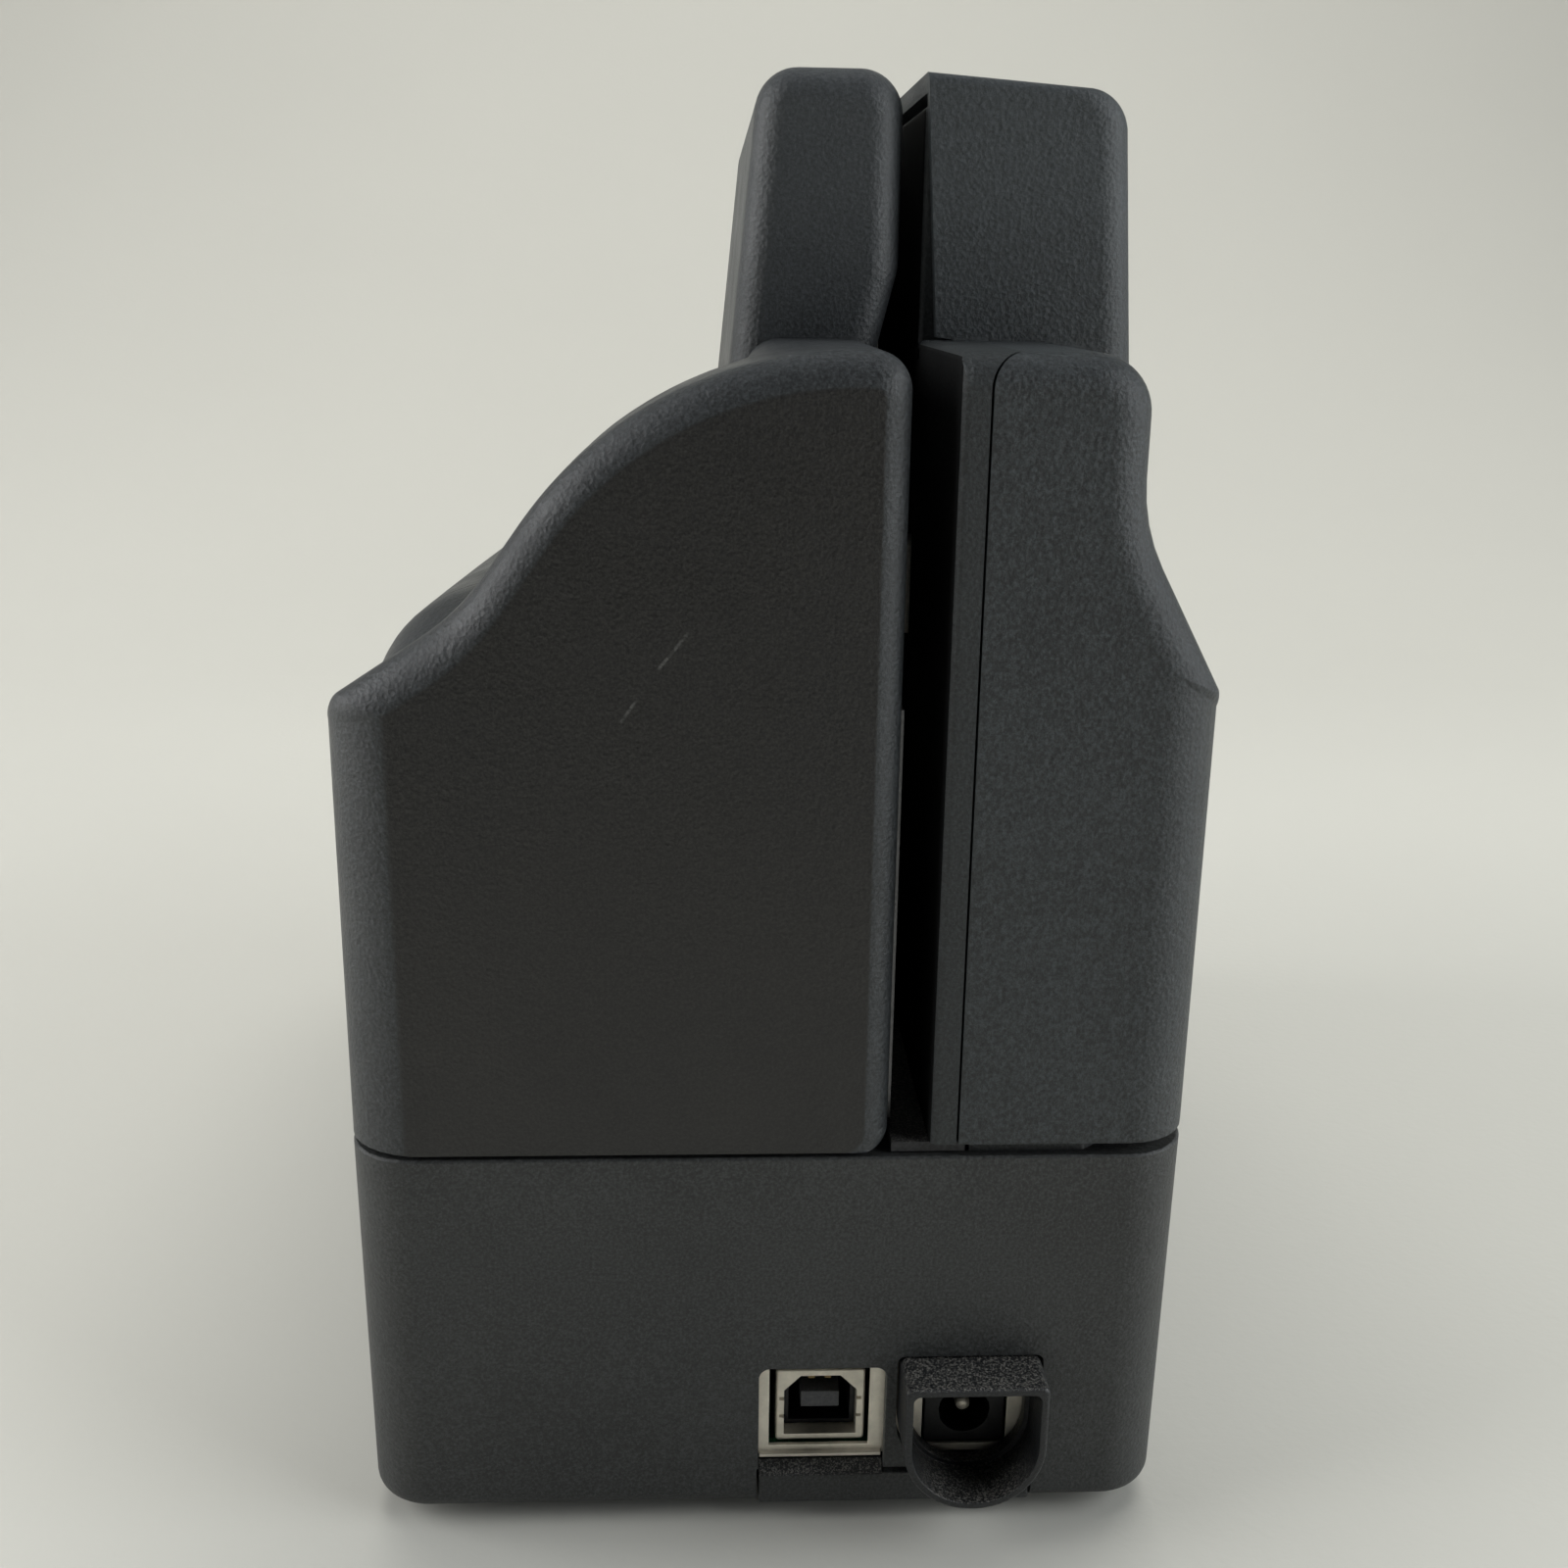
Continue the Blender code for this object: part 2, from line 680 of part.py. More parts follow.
def drive_roller(label, y, mats):
    top = TYRE_Z[1][1] + 12
    stations = [
        (PULLEY_Z[0] - 4, SHAFT_RADIUS),
        (PULLEY_Z[0] - 0.8, SHAFT_RADIUS),
        (PULLEY_Z[0] - 0.8, ROLLER_PULLEY_RADIUS + 1.2),
        (PULLEY_Z[0], ROLLER_PULLEY_RADIUS + 1.2),
        (PULLEY_Z[0], ROLLER_PULLEY_RADIUS),
        (PULLEY_Z[1], ROLLER_PULLEY_RADIUS),
        (PULLEY_Z[1], SHAFT_RADIUS), (top, SHAFT_RADIUS),
    ]
    turned(f"{label}_roller_shaft", (DRIVE_X, y), stations, 20, mats["steel"])
    (low, mid_low), (mid_high, high) = TYRE_Z
    tyre_stations = [
        (low, 8.4),
        (low + 0.8, DRIVE_RADIUS),
        (mid_low - 0.8, DRIVE_RADIUS),
        (mid_low, 8.4),
        (mid_low, 3.7),
        (mid_high, 3.7),
        (mid_high, 8.4),
        (mid_high + 0.8, DRIVE_RADIUS),
        (high - 0.8, DRIVE_RADIUS),
        (high, 8.4),
    ]
    tyre = turned(f"{label}_roller_tyres", (DRIVE_X, y), tyre_stations, 24, mats["rubber"])
    bore(tyre, (DRIVE_X, y), SHAFT_RADIUS + 0.3, (low - 2, high + 2), 20)
    bearing = turned(
        f"{label}_roller_bearing",
        (DRIVE_X, y),
        [(top - 7.6, 3.6), (top - 5, 3.6)],
        20,
        mats["brass"],
    )
    bore(bearing, (DRIVE_X, y), SHAFT_RADIUS + 0.3, (top - 9, top - 4), 20)
    bracket_x = (1.0, SLOT_LEFT - WALL - 0.4)
    bracket = box(
        f"{label}_bearing_bracket",
        bracket_x,
        (y - 13, y + 4),
        (top - 9.5, top - 7.9),
        mats["steel"],
    )
    fuse(bracket, box("post", bracket_x, (y - 13, y - 11.4), (DECK + GAP, top - 8.2)))
    return bore(bracket, (DRIVE_X, y), SHAFT_RADIUS + 0.6, (top - 12, top - 5), 20)


def belt_loop(grow):
    """The belt's closed path round the three pulleys, as the convex outline of three circles."""
    circles = [
        (MOTOR_X, MOTOR_Y, MOTOR_PULLEY_RADIUS + grow),
        (DRIVE_X, EXIT_Y, ROLLER_PULLEY_RADIUS + grow),
        (DRIVE_X, FEED_Y, ROLLER_PULLEY_RADIUS + grow),
    ]
    candidates = []
    for cx, cy, radius in circles:
        candidates += [p[:2] for p in circle(cx, cy, radius, 0, 28)]
    return convex_hull(candidates)


def convex_hull(points):
    ordered = sorted(set(points))
    halves = []
    for sweep in (ordered, ordered[::-1]):
        chain = []
        for p in sweep:
            while len(chain) > 1 and turn_of(chain[-2], chain[-1], p) <= 1e-9:
                chain.pop()
            chain.append(p)
        halves += chain[:-1]
    return halves


def turn_of(a, b, c):
    return (b[0] - a[0]) * (c[1] - a[1]) - (b[1] - a[1]) * (c[0] - a[0])


def timing_belt(mats):
    z = (PULLEY_Z[0] + 0.4, PULLEY_Z[1] - 0.4)
    outer = ring_solid(
        "timing_belt",
        [[(x, y, h) for x, y in belt_loop(GAP + BELT_THICK)] for h in z],
        mats["rubber"],
    )
    inner = ring_solid("cutter", [[(x, y, h) for x, y in belt_loop(GAP)] for h in (z[0] - 2, z[1] + 2)])
    return cut(outer, inner)


# ---------------------------------------------------------------- reading parts
def build_readers(mats):
    for label, x, window_x in (("front", (2.4, 15.6), (15.9, 16.7)), ("rear", (20.0, 33.0), (18.7, 19.7))):
        sensor = box(f"{label}_image_sensor", x, SENSOR_Y, SENSOR_Z, mats["dark"])
        middle = sum(SENSOR_Y) / 2
        channel = x[1] if label == "front" else x[0]
        cut(
            sensor,
            box(
                "cutter",
                (channel - 1.5, channel + 1.5),
                (middle - 4, middle + 4),
                (SENSOR_Z[0] + 4, SENSOR_Z[1] - 4),
            ),
        )
        box(
            f"{label}_sensor_glass",
            window_x,
            (SENSOR_Y[0] + 1, SENSOR_Y[1] - 1),
            (SENSOR_Z[0] + 1, SENSOR_Z[1] - 1),
            mats["glass"],
        )
    head_z = (FLOOR_TOP + 4, FLOOR_TOP + 17)
    corners = [
        (4.0, HEAD_Y[0], 0),
        (12.0, HEAD_Y[0], 0),
        (16.6, sum(HEAD_Y) / 2, 5.0),
        (12.0, HEAD_Y[1], 0),
        (4.0, HEAD_Y[1], 0),
    ]
    plan_prism("magnetic_read_head", corners, head_z, mats["steel"])
    bracket = box(
        "read_head_bracket",
        (2.0, 3.7),
        (HEAD_Y[0] - 2, HEAD_Y[1] + 2),
        (DECK + GAP, head_z[1] + 2),
        mats["steel"],
    )
    fuse(bracket, box("foot", (-6.0, 3.0), (HEAD_Y[0] - 2, HEAD_Y[1] + 2), (DECK + GAP, DECK + GAP + 1.5)))


# ---------------------------------------------------------------- left casing
def build_left_casing(mats):
    rounds = [0, 3.5, 4.4, 4.4, 5.2, CORNER_ROUND]
    near_hump = casing_rings(hump_corners(), rounds, (NEAR, BLOCK_NEAR + 2), far_cap=False)
    casing = ring_solid("left_casing", near_hump, mats["casing"])
    tower = casing_rings(left_tower_corners(), [0, 0, 1.5, 3.0, 4.6, 3.6], (BLOCK_NEAR, BLOCK_FAR))
    fuse(casing, left_body("body"), ring_solid("tower", tower))
    cut(casing, hollow(hump_corners(), (NEAR + WALL, BLOCK_NEAR + WALL + 1)))
    cut(casing, left_body_hollow())
    cut(
        casing,
        prism_y("cutter", shifted(left_tower_corners(), WALL), (BLOCK_NEAR + WALL, BLOCK_FAR - WALL)),
    )
    cut(casing, lid_region(0.5, 3.0))
    for y in (EXIT_Y, FEED_Y):
        for low, high in TYRE_Z:
            cut(casing, slot_window((y - 10, y + 10), (low - 1.5, high + 1.5)))
    cut(casing, slot_window((SENSOR_Y[0] - 0.6, SENSOR_Y[1] + 0.6), (SENSOR_Z[0] - 0.6, SENSOR_Z[1] + 0.6)))
    cut(casing, slot_window((HEAD_Y[0] - 0.8, HEAD_Y[1] + 0.8), (FLOOR_TOP + 3, FLOOR_TOP + 18)))
    cut(casing, slot_window((CARTRIDGE_Y[0] + 1, CARTRIDGE_Y[1] - 1), (FOOT + 66, FOOT + 95)))
    light_at = (8.0, FAR - 22)
    bore(casing, light_at, 2.3, (WING_TOP - 6, WING_TOP + 3))
    turned("status_light", light_at, [(WING_TOP - 4, 2.0), (WING_TOP - 1.2, 2.0)], 16, mats["light"])
    return casing


def left_body(name):
    """The body behind the hump; its far end meets the sides in a quarter round."""
    start, end = left_body_corners(0), left_body_corners(1)
    first = rounded_outline(start, arc_steps(end))
    rounds = [0, 3.5, 4.4, 4.4, 4.4, 4.4, CORNER_ROUND]
    tail = casing_rings(end, rounds, (BLOCK_NEAR, FAR), near_cap=False)
    return ring_solid(name, [[(x, BLOCK_NEAR, z) for x, z in first]] + tail[1:])


def left_body_hollow():
    steps = arc_steps(left_body_corners(1))
    steps[1] = 0
    rings = []
    for t, y in ((0.02, BLOCK_NEAR + WALL + 0.5), (1.0, FAR - WALL)):
        points = rounded_outline(shifted(left_body_corners(t), WALL, 5), steps)
        rings.append([(x, y, z) for x, z in points])
    return within_walls(ring_solid("cutter", rings))


def slot_window(y, z):
    """A cutter through the wall on the left of the document slot."""
    return box("cutter", (SLOT_LEFT - 5, SLOT_LEFT + 5), y, z)


def lid_region(gap, hinge_side):
    """The zone that the cartridge lid takes up: the shoulder's crown and the wall below it."""
    corners = [
        (-HALF - 5, LID_SKIN_Z - gap, 0),
        (-HALF + 6, LID_SKIN_Z - gap, 0),
        (-HALF + 6, SHOULDER_TOP - 24, 0),
        (-HALF + 22, SHOULDER_TOP - 9, 0),
        (LID_AXIS[0] + hinge_side, SHOULDER_TOP - 9, 0),
        (LID_AXIS[0] + hinge_side, SHOULDER_TOP + 5, 0),
        (-HALF - 5, SHOULDER_TOP + 5, 0),
    ]
    return prism_y("cutter", corners, (LID_Y[0] - gap, LID_Y[1] + gap))


# ---------------------------------------------------------------- ink cartridge and its lid
def build_cartridge(mats):
    lid = left_body("cartridge_lid")
    lid.data.materials.append(mats["casing"])
    boolean(lid, lid_region(0, 0), "INTERSECT")
    cut(lid, left_body_hollow())
    fuse(lid, rod_y("barrel", *LID_AXIS, LID_BARREL, LID_Y, 16))
    ear_places = (LID_Y[0] + 12, LID_Y[1] - 18)
    for y in ear_places:
        room = box(
            "cutter",
            (LID_AXIS[0] - 3, LID_AXIS[0] + 5),
            (y - GAP, y + 6 + GAP),
            (LID_AXIS[1] - 5, LID_AXIS[1] + 2),
        )
        cut(lid, room)
    cut(lid, rod_y("cutter", *LID_AXIS, 1.1, (LID_Y[0] - 5, LID_Y[1] + 5), 12))
    finger = rectangle((-HALF - 3, -HALF + 1.1), (LID_SKIN_Z - 3, LID_SKIN_Z + 2.2))
    cut(lid, prism_y("cutter", finger, (sum(LID_Y) / 2 - 11, sum(LID_Y) / 2 + 11)))
    rod_y("cartridge_lid_pin", *LID_AXIS, 0.8, (LID_Y[0] + 2.0, LID_Y[1] - 2.0), 12, mats["steel"])
    rail_x = (LID_AXIS[0] - LID_EAR, LID_AXIS[0] + LID_EAR)
    rail_z = LID_AXIS[1] - LID_BARREL - LID_TAIL_ROOM
    rail = box("cartridge_lid_bracket", rail_x, LID_Y, (rail_z - 2.4, rail_z), mats["dark"])
    for y in ear_places:
        fuse(rail, box("ear", rail_x, (y, y + 6), (rail_z - 1, LID_AXIS[1])))
        fuse(rail, rod_y("eye", *LID_AXIS, LID_EAR, (y, y + 6), 16))
    cut(rail, rod_y("cutter", *LID_AXIS, 1.1, (LID_Y[0] - 5, LID_Y[1] + 5), 12))
    cartridge = [
        (-38.0, FOOT + 62.5, 1.5),
        (10.0, FOOT + 62.5, 1.5),
        (13.4, FOOT + 72.0, 0.8),
        (13.4, FOOT + 90.0, 0.8),
        (4.0, FOOT + 100.0, 2.0),
        (-38.0, FOOT + 100.0, 3.0),
    ]
    prism_y("ink_cartridge", cartridge, (CARTRIDGE_Y[0] + 2, CARTRIDGE_Y[1] - 2), mats["dark"])
    cradle = box("cartridge_cradle", (-41.0, 10.5), CARTRIDGE_Y, (DECK + GAP, FOOT + 82), mats["accent"])
    cut(
        cradle,
        box("cutter", (-38.6, 20), (CARTRIDGE_Y[0] + 1.4, CARTRIDGE_Y[1] - 1.4), (FOOT + 61.8, FOOT + 120)),
    )
    return cut(
        cradle,
        box("cutter", (-36, 6), (CARTRIDGE_Y[0] + 4, CARTRIDGE_Y[1] - 4), (DECK - 3, FOOT + 59.5)),
    )


# ---------------------------------------------------------------- right door
def build_door(mats):
    rounds = [0, CORNER_ROUND, 5.2, 5.2, 4.2, 0.6]
    near_wing = casing_rings(wing_corners(), rounds, (NEAR, BLOCK_NEAR + 2), far_cap=False)
    far_wing = casing_rings(wing_corners(), rounds, (BLOCK_FAR - 2, FAR), near_cap=False)
    block = casing_rings(right_block_corners(), [0, 1.5, 4.4, 1.4, 0, 0, 0], (BLOCK_NEAR, BLOCK_FAR))
    cover = ring_solid("right_casing", near_wing, mats["casing"])
    fuse(cover, ring_solid("block", block), ring_solid("far_wing", far_wing))
    cut(cover, box("cutter", (0, HALF + 5), (NEAR - 5, FAR + 5), (DOOR_BOTTOM - 2 * SPARE, DOOR_BOTTOM)))
    cut(cover, hollow(wing_corners(), (NEAR + WALL, BLOCK_NEAR + WALL + 1), skip=(5,)))
    cut(cover, hollow(wing_corners(), (BLOCK_FAR - WALL - 1, FAR - WALL), skip=(5,)))
    cut(cover, hollow(right_block_corners(), (BLOCK_NEAR + WALL, BLOCK_FAR - WALL), skip=(4, 5, 6)))
    left = (SLOT_RIGHT - 5, COVER_EDGE + 5)
    cut(cover, box("cutter", left, (NEAR + WALL, FAR - WALL), (DOOR_BOTTOM - 5, WING_TOP - WALL)))
    cut(cover, box("cutter", left, (BLOCK_NEAR + WALL, BLOCK_FAR - WALL), (DOOR_BOTTOM - 5, FOOT + 181.0)))
    track_wall(mats["casing"])
    door_frame(mats)
    for label, y, side in (("exit", EXIT_Y, 1), ("feed", FEED_Y, -1)):
        pinch_set(label, y, side, mats)
    return cover


def track_wall(material):
    """The door's side of the slot, with windows for the pinch rollers and the rear sensor."""
    low = DOOR_BOTTOM + 0.6
    step_near, step_far = BLOCK_NEAR + WALL + GAP, BLOCK_FAR - WALL - GAP
    outline = [
        (NEAR, low, 0),
        (FAR, low, 0),
        (FAR, WING_TOP - 0.2, 3.0),
        (step_far, WING_TOP - 0.2, 0),
        (step_far, FOOT + 180.0, 1.0),
        (step_near, FOOT + 180.0, 1.0),
        (step_near, WING_TOP - 0.2, 0),
        (NEAR, WING_TOP - 0.2, 3.0),
    ]
    points = rounded_outline(outline, arc_steps(outline))
    rings = [[(x, y, z) for y, z in points] for x in (SLOT_RIGHT, SLOT_RIGHT + TRACK_WALL)]
    wall = ring_solid("right_track_wall", rings, material)
    through = (SLOT_RIGHT - 4, SLOT_RIGHT + 8)
    for y in (EXIT_Y, FEED_Y):
        cut(wall, box("cutter", through, (y - 7, y + 7), (TYRE_Z[0][0] - 1.5, TYRE_Z[1][1] + 1.5)))
    window_y = (SENSOR_Y[0] - 0.6, SENSOR_Y[1] + 0.6)
    return cut(wall, box("cutter", through, window_y, (SENSOR_Z[0] - 0.6, SENSOR_Z[1] + 0.6)))


def door_frame(mats):
    """Carries the hinge knuckles, the pinch arms' pivots and the rear sensor's pads."""
    y = (BLOCK_NEAR - 6, BLOCK_FAR + 14)
    frame = box("door_frame", (37.0, 39.0), y, (DOOR_BOTTOM + 1.0, FOOT + 132), mats["steel"])
    fuse(frame, box("floor", (25.0, HALF - 6.0), (y[0], FAR - 20), (DOOR_BOTTOM + 0.6, DOOR_BOTTOM + 2.6)))
    for z in DOOR_KNUCKLE_Z:
        fuse(frame, turned("knuckle", DOOR_AXIS, [(z[0], 4.4), (z[1], 4.4)], 20))
        arm_z = (z[0] + 1, z[1] - 1)
        fuse(frame, box("arm", (37.5, DOOR_AXIS[0]), (BLOCK_FAR + 10, BLOCK_FAR + 13), arm_z))
        fuse(
            frame,
            box("arm", (DOOR_AXIS[0] - 3, DOOR_AXIS[0] - 0.2), (BLOCK_FAR + 10, DOOR_AXIS[1]), arm_z),
        )
    bore(frame, DOOR_AXIS, 2.35, (DECK - 5, FOOT + 140))
    for roller_y, side in ((EXIT_Y, 1), (FEED_Y, -1)):
        pivot_y = roller_y + side * PIVOT_SETBACK
        for z in ((ARM_Z[0] - 4.0, ARM_Z[0] - GAP), (ARM_Z[1] + GAP, ARM_Z[1] + 4.0)):
            fuse(frame, box("lug", (PIVOT_X - 3.5, 38.0), (pivot_y - 3.5, pivot_y + 3.5), z))
        bore(frame, (PIVOT_X, pivot_y), 1.55, (ARM_Z[0] - 8, ARM_Z[1] + 8))
    post = [
        (DECK + 1.2 + GAP, 5.4), (DECK + 3.0, 5.4), (DECK + 3.0, 3.4), (DOOR_KNUCKLE_Z[0][0] - GAP, 3.4),
        (DOOR_KNUCKLE_Z[0][0] - GAP, 2.0), (DOOR_KNUCKLE_Z[1][1] + 2, 2.0),
    ]
    turned("door_hinge_post", DOOR_AXIS, post, 20, mats["steel"])
    middle = sum(SENSOR_Y) / 2
    for number, z in enumerate((SENSOR_Z[0] + 18, FOOT + 118), start=1):
        box(f"sensor_pad_{number}", (33.3, 36.7), (middle - 5, middle + 5), (z - 6, z + 6), mats["rubber"])
    for label, roller_y, side in (("exit", EXIT_Y, 1), ("feed", FEED_Y, -1)):
        leaf_y = roller_y + side * 4.0
        leaf = box(
            f"{label}_pinch_spring",
            (31.0, 31.7),
            (leaf_y - 3, leaf_y + 3),
            (ARM_Z[0] + 3, ARM_Z[1] - 3),
            mats["steel"],
        )
        stem_y = sorted_pair(leaf_y - side * 3.0, leaf_y - side * 2.2)
        fuse(leaf, box("stem", (31.2, 36.7), stem_y, (ARM_Z[0] + 4, ARM_Z[1] - 4)))


def pinch_set(label, y, side, mats):
    """A sprung arm on a vertical pivot that holds a spool of two idlers against the drive tyres."""
    pivot_y = y + side * PIVOT_SETBACK
    arm = turned(f"{label}_pinch_arm", (PINCH_X, y), [(ARM_Z[0], 2.5), (ARM_Z[1], 2.5)], 16, mats["dark"])
    reach = Vector((PIVOT_X - PINCH_X, pivot_y - y))
    normal = Vector((-reach.y, reach.x)).normalized() * 2.0
    a, b = Vector((PINCH_X, y)), Vector((PIVOT_X, pivot_y))
    outline = [a + normal, a - normal, b - normal, b + normal]
    fuse(arm, ring_solid("bar", [[(p.x, p.y, z) for p in outline] for z in (ARM_Z[0] + 1, ARM_Z[1] - 1)]))
    fuse(arm, turned("hub", (PIVOT_X, pivot_y), [(ARM_Z[0], 3.2), (ARM_Z[1], 3.2)], 16))
    for place in ((PINCH_X, y), (PIVOT_X, pivot_y)):
        bore(arm, place, 1.55, (ARM_Z[0] - 3, ARM_Z[1] + 3))
    turned(
        f"{label}_pinch_pivot",
        (PIVOT_X, pivot_y),
        [(ARM_Z[0] - 5, 1.2), (ARM_Z[1] + 5, 1.2)],
        12,
        mats["steel"],
    )
    spool = []
    for low, high in TYRE_Z:
        spool += [
            (low + 0.5, 1.2),
            (low + 0.5, PINCH_RADIUS),
            (high - 0.5, PINCH_RADIUS),
            (high - 0.5, 1.2),
        ]
    return turned(f"{label}_pinch_roller", (PINCH_X, y), spool, 20, mats["roller"])


def build_all():
    clear_scene()
    mats = {
        "casing": make_material("charcoal_plastic", (0.030, 0.032, 0.034), 0.45),
        "dark": make_material("black_plastic", (0.012, 0.012, 0.013), 0.5),
        "rubber": make_material("black_rubber", (0.02, 0.02, 0.02), 0.85),
        "steel": make_material("plated_steel", (0.62, 0.60, 0.54), 0.32, 1.0),
        "brass": make_material("brass", (0.65, 0.50, 0.25), 0.35, 1.0),
        "board": make_material("circuit_board", (0.02, 0.12, 0.05), 0.5),
        "glass": make_material("sensor_glass", (0.05, 0.06, 0.06), 0.08),
        "light": make_material("light_pipe", (0.55, 0.60, 0.58), 0.25),
        "accent": make_material("green_plastic", (0.05, 0.25, 0.12), 0.5),
        "roller": make_material("white_nylon", (0.70, 0.69, 0.66), 0.5),
    }
    build_base(mats)
    build_ports(mats)
    build_track(mats)
    build_drive(mats)
    build_readers(mats)
    build_left_casing(mats)
    build_cartridge(mats)
    build_door(mats)
    bpy.context.view_layer.update()


build_all()
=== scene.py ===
"""Looks of the desktop document scanner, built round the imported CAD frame.

Lengths are in millimetres here and turn into metres when a mesh is made. The casings are made
again from the same driving dimensions as the CAD, with fine fillets, and ride on its bodies.
"""

import math

import bmesh
import bpy
from mathutils import Matrix, Vector


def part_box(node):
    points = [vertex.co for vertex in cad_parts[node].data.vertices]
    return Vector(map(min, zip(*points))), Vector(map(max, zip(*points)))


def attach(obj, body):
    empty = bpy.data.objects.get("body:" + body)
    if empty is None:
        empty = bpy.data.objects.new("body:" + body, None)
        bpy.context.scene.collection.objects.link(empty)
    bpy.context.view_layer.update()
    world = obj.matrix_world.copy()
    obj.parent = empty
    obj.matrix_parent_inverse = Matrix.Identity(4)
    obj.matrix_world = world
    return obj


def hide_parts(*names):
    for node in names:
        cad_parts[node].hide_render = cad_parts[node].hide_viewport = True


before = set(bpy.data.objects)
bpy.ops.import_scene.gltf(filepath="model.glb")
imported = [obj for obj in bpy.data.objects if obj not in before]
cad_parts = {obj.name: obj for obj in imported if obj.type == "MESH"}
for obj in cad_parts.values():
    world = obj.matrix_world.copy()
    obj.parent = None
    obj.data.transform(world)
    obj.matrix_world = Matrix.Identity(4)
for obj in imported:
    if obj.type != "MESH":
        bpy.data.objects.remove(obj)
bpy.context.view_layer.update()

MM = 0.001
ARC_STEP = 7.5
CAP_STEPS = 7
WALL = 2.4
CORNER_ROUND = 8.4
BASE_DRAFT = 0.5
TOWER_SETBACK = 40.0
WING_HEIGHT = 150.7
SHOULDER_HEIGHT = 118.4
DECK_SEAM = 0.65
COVER_SEAM = 0.3
TYRE_LENGTH = 14.0
IDLER_WHEEL = 13.0


def box_mm(node):
    low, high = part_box(node)
    return low / MM, high / MM


# ---------------------------------------------------------------- places from the frame
base_low, base_high = box_mm("base_shell")
left_low, left_high = box_mm("left_casing")
right_low = box_mm("right_casing")[0]
strip_low, strip_high = box_mm("right_track_wall")
collar_low, collar_high = box_mm("power_plug_collar")
shield_low, shield_high = box_mm("port_shield")
usb_low, usb_high = box_mm("usb_socket_shell")
lid_low, lid_high = box_mm("cartridge_lid")

HALF, NEAR, FAR, FOOT = base_high.x, base_low.y, base_high.y, base_low.z
BLOCK_NEAR, BLOCK_FAR = NEAR + TOWER_SETBACK, FAR - TOWER_SETBACK
LEFT_BOTTOM, DOOR_BOTTOM = left_low.z, right_low.z
DECK = LEFT_BOTTOM - DECK_SEAM
DECK_UNDERSIDE = DECK - WALL
WING_TOP = FOOT + WING_HEIGHT
TOWER_TOP = left_high.z
SHOULDER_TOP = FOOT + SHOULDER_HEIGHT
SLOT_LEFT, TOWER_SLOT_LEFT = 14.6, left_high.x
SLOT_RIGHT, STRIP_RIGHT = strip_low.x, strip_high.x
COVER_EDGE = STRIP_RIGHT + COVER_SEAM
FLOOR_TOP = box_mm("track_floor")[1].z
SENSOR = box_mm("front_image_sensor")
HEAD = box_mm("magnetic_read_head")
CRADLE = box_mm("cartridge_cradle")
EXIT = box_mm("exit_roller_tyres")
FEED = box_mm("feed_roller_tyres")
EXIT_Y, FEED_Y = (EXIT[0].y + EXIT[1].y) / 2, (FEED[0].y + FEED[1].y) / 2
DRIVE_X = (EXIT[0].x + EXIT[1].x) / 2
TYRE_Z = ((EXIT[0].z, EXIT[0].z + TYRE_LENGTH), (EXIT[1].z - TYRE_LENGTH, EXIT[1].z))
USB_X, USB_Z = (usb_low.x + usb_high.x) / 2, FOOT + 13.1
COLLAR_X = (collar_low.x + collar_high.x) / 2
PORT_CUT_X = (USB_X - 8.4, USB_X + 8.4)
PORT_CUT_Z = (FOOT + 4.9, FOOT + 21.4)
UPSTAND_X = (-1.6, 35.4)
LID_AXIS = (lid_high.x - 2.1, box_mm("cartridge_lid_pin")[0].z + 0.8)
LID_Y = (lid_low.y, lid_high.y)
LID_SKIN_Z = lid_low.z


# ---------------------------------------------------------------- mesh helpers
def add_piece(name, mesh, material, body, replaces=()):
    """Links a finished mesh, names its body, and hides the CAD nodes it stands for."""
    piece = bpy.data.objects.new(name, mesh)
    bpy.context.scene.collection.objects.link(piece)
    if material:
        mesh.materials.append(material)
    if body:
        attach(piece, body)
    if replaces:
        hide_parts(*replaces)
    return piece


def scratch(name, bm):
    """A helper object in millimetres, for Boolean work."""
    for vert in bm.verts:
        vert.co = [round(value, 3) for value in vert.co]
    bmesh.ops.remove_doubles(bm, verts=bm.verts, dist=0.002)
    bent = [face for face in bm.faces if len(face.verts) == 4 and not is_flat(face)]
    bmesh.ops.triangulate(bm, faces=bent)
    bmesh.ops.recalc_face_normals(bm, faces=bm.faces)
    mesh = bpy.data.meshes.new(name)
    bm.to_mesh(mesh)
    bm.free()
    obj = bpy.data.objects.new(name, mesh)
    bpy.context.scene.collection.objects.link(obj)
    return obj


def is_flat(face):
    centre = face.calc_center_median()
    return all(abs((vert.co - centre).dot(face.normal)) < 1e-4 for vert in face.verts)


def ring_solid(name, rings):
    bm = bmesh.new()
    loops = [[bm.verts.new(point) for point in ring] for ring in rings]
    for ring_a, ring_b in zip(loops, loops[1:]):
        count = len(ring_a)
        for i in range(count):
            j = (i + 1) % count
            bm.faces.new((ring_a[i], ring_a[j], ring_b[j], ring_b[i]))
    bm.faces.new(loops[0])
    bm.faces.new(loops[-1])
    return scratch(name, bm)


def box(name, x, y, z):
    rings = [[(x[0], y[0], h), (x[1], y[0], h), (x[1], y[1], h), (x[0], y[1], h)] for h in z]
    return ring_solid(name, rings)


def circle(cx, cy, radius, sides):
    step = math.tau / sides
    return [(cx + radius * math.cos(i * step), cy + radius * math.sin(i * step)) for i in range(sides)]


def turned(name, centre, stations, sides=64):
    """A solid of revolution about a vertical axis: stations are (height, radius)."""
    rings = [[(x, y, z) for x, y in circle(*centre, radius, sides)] for z, radius in stations]
    return ring_solid(name, rings)


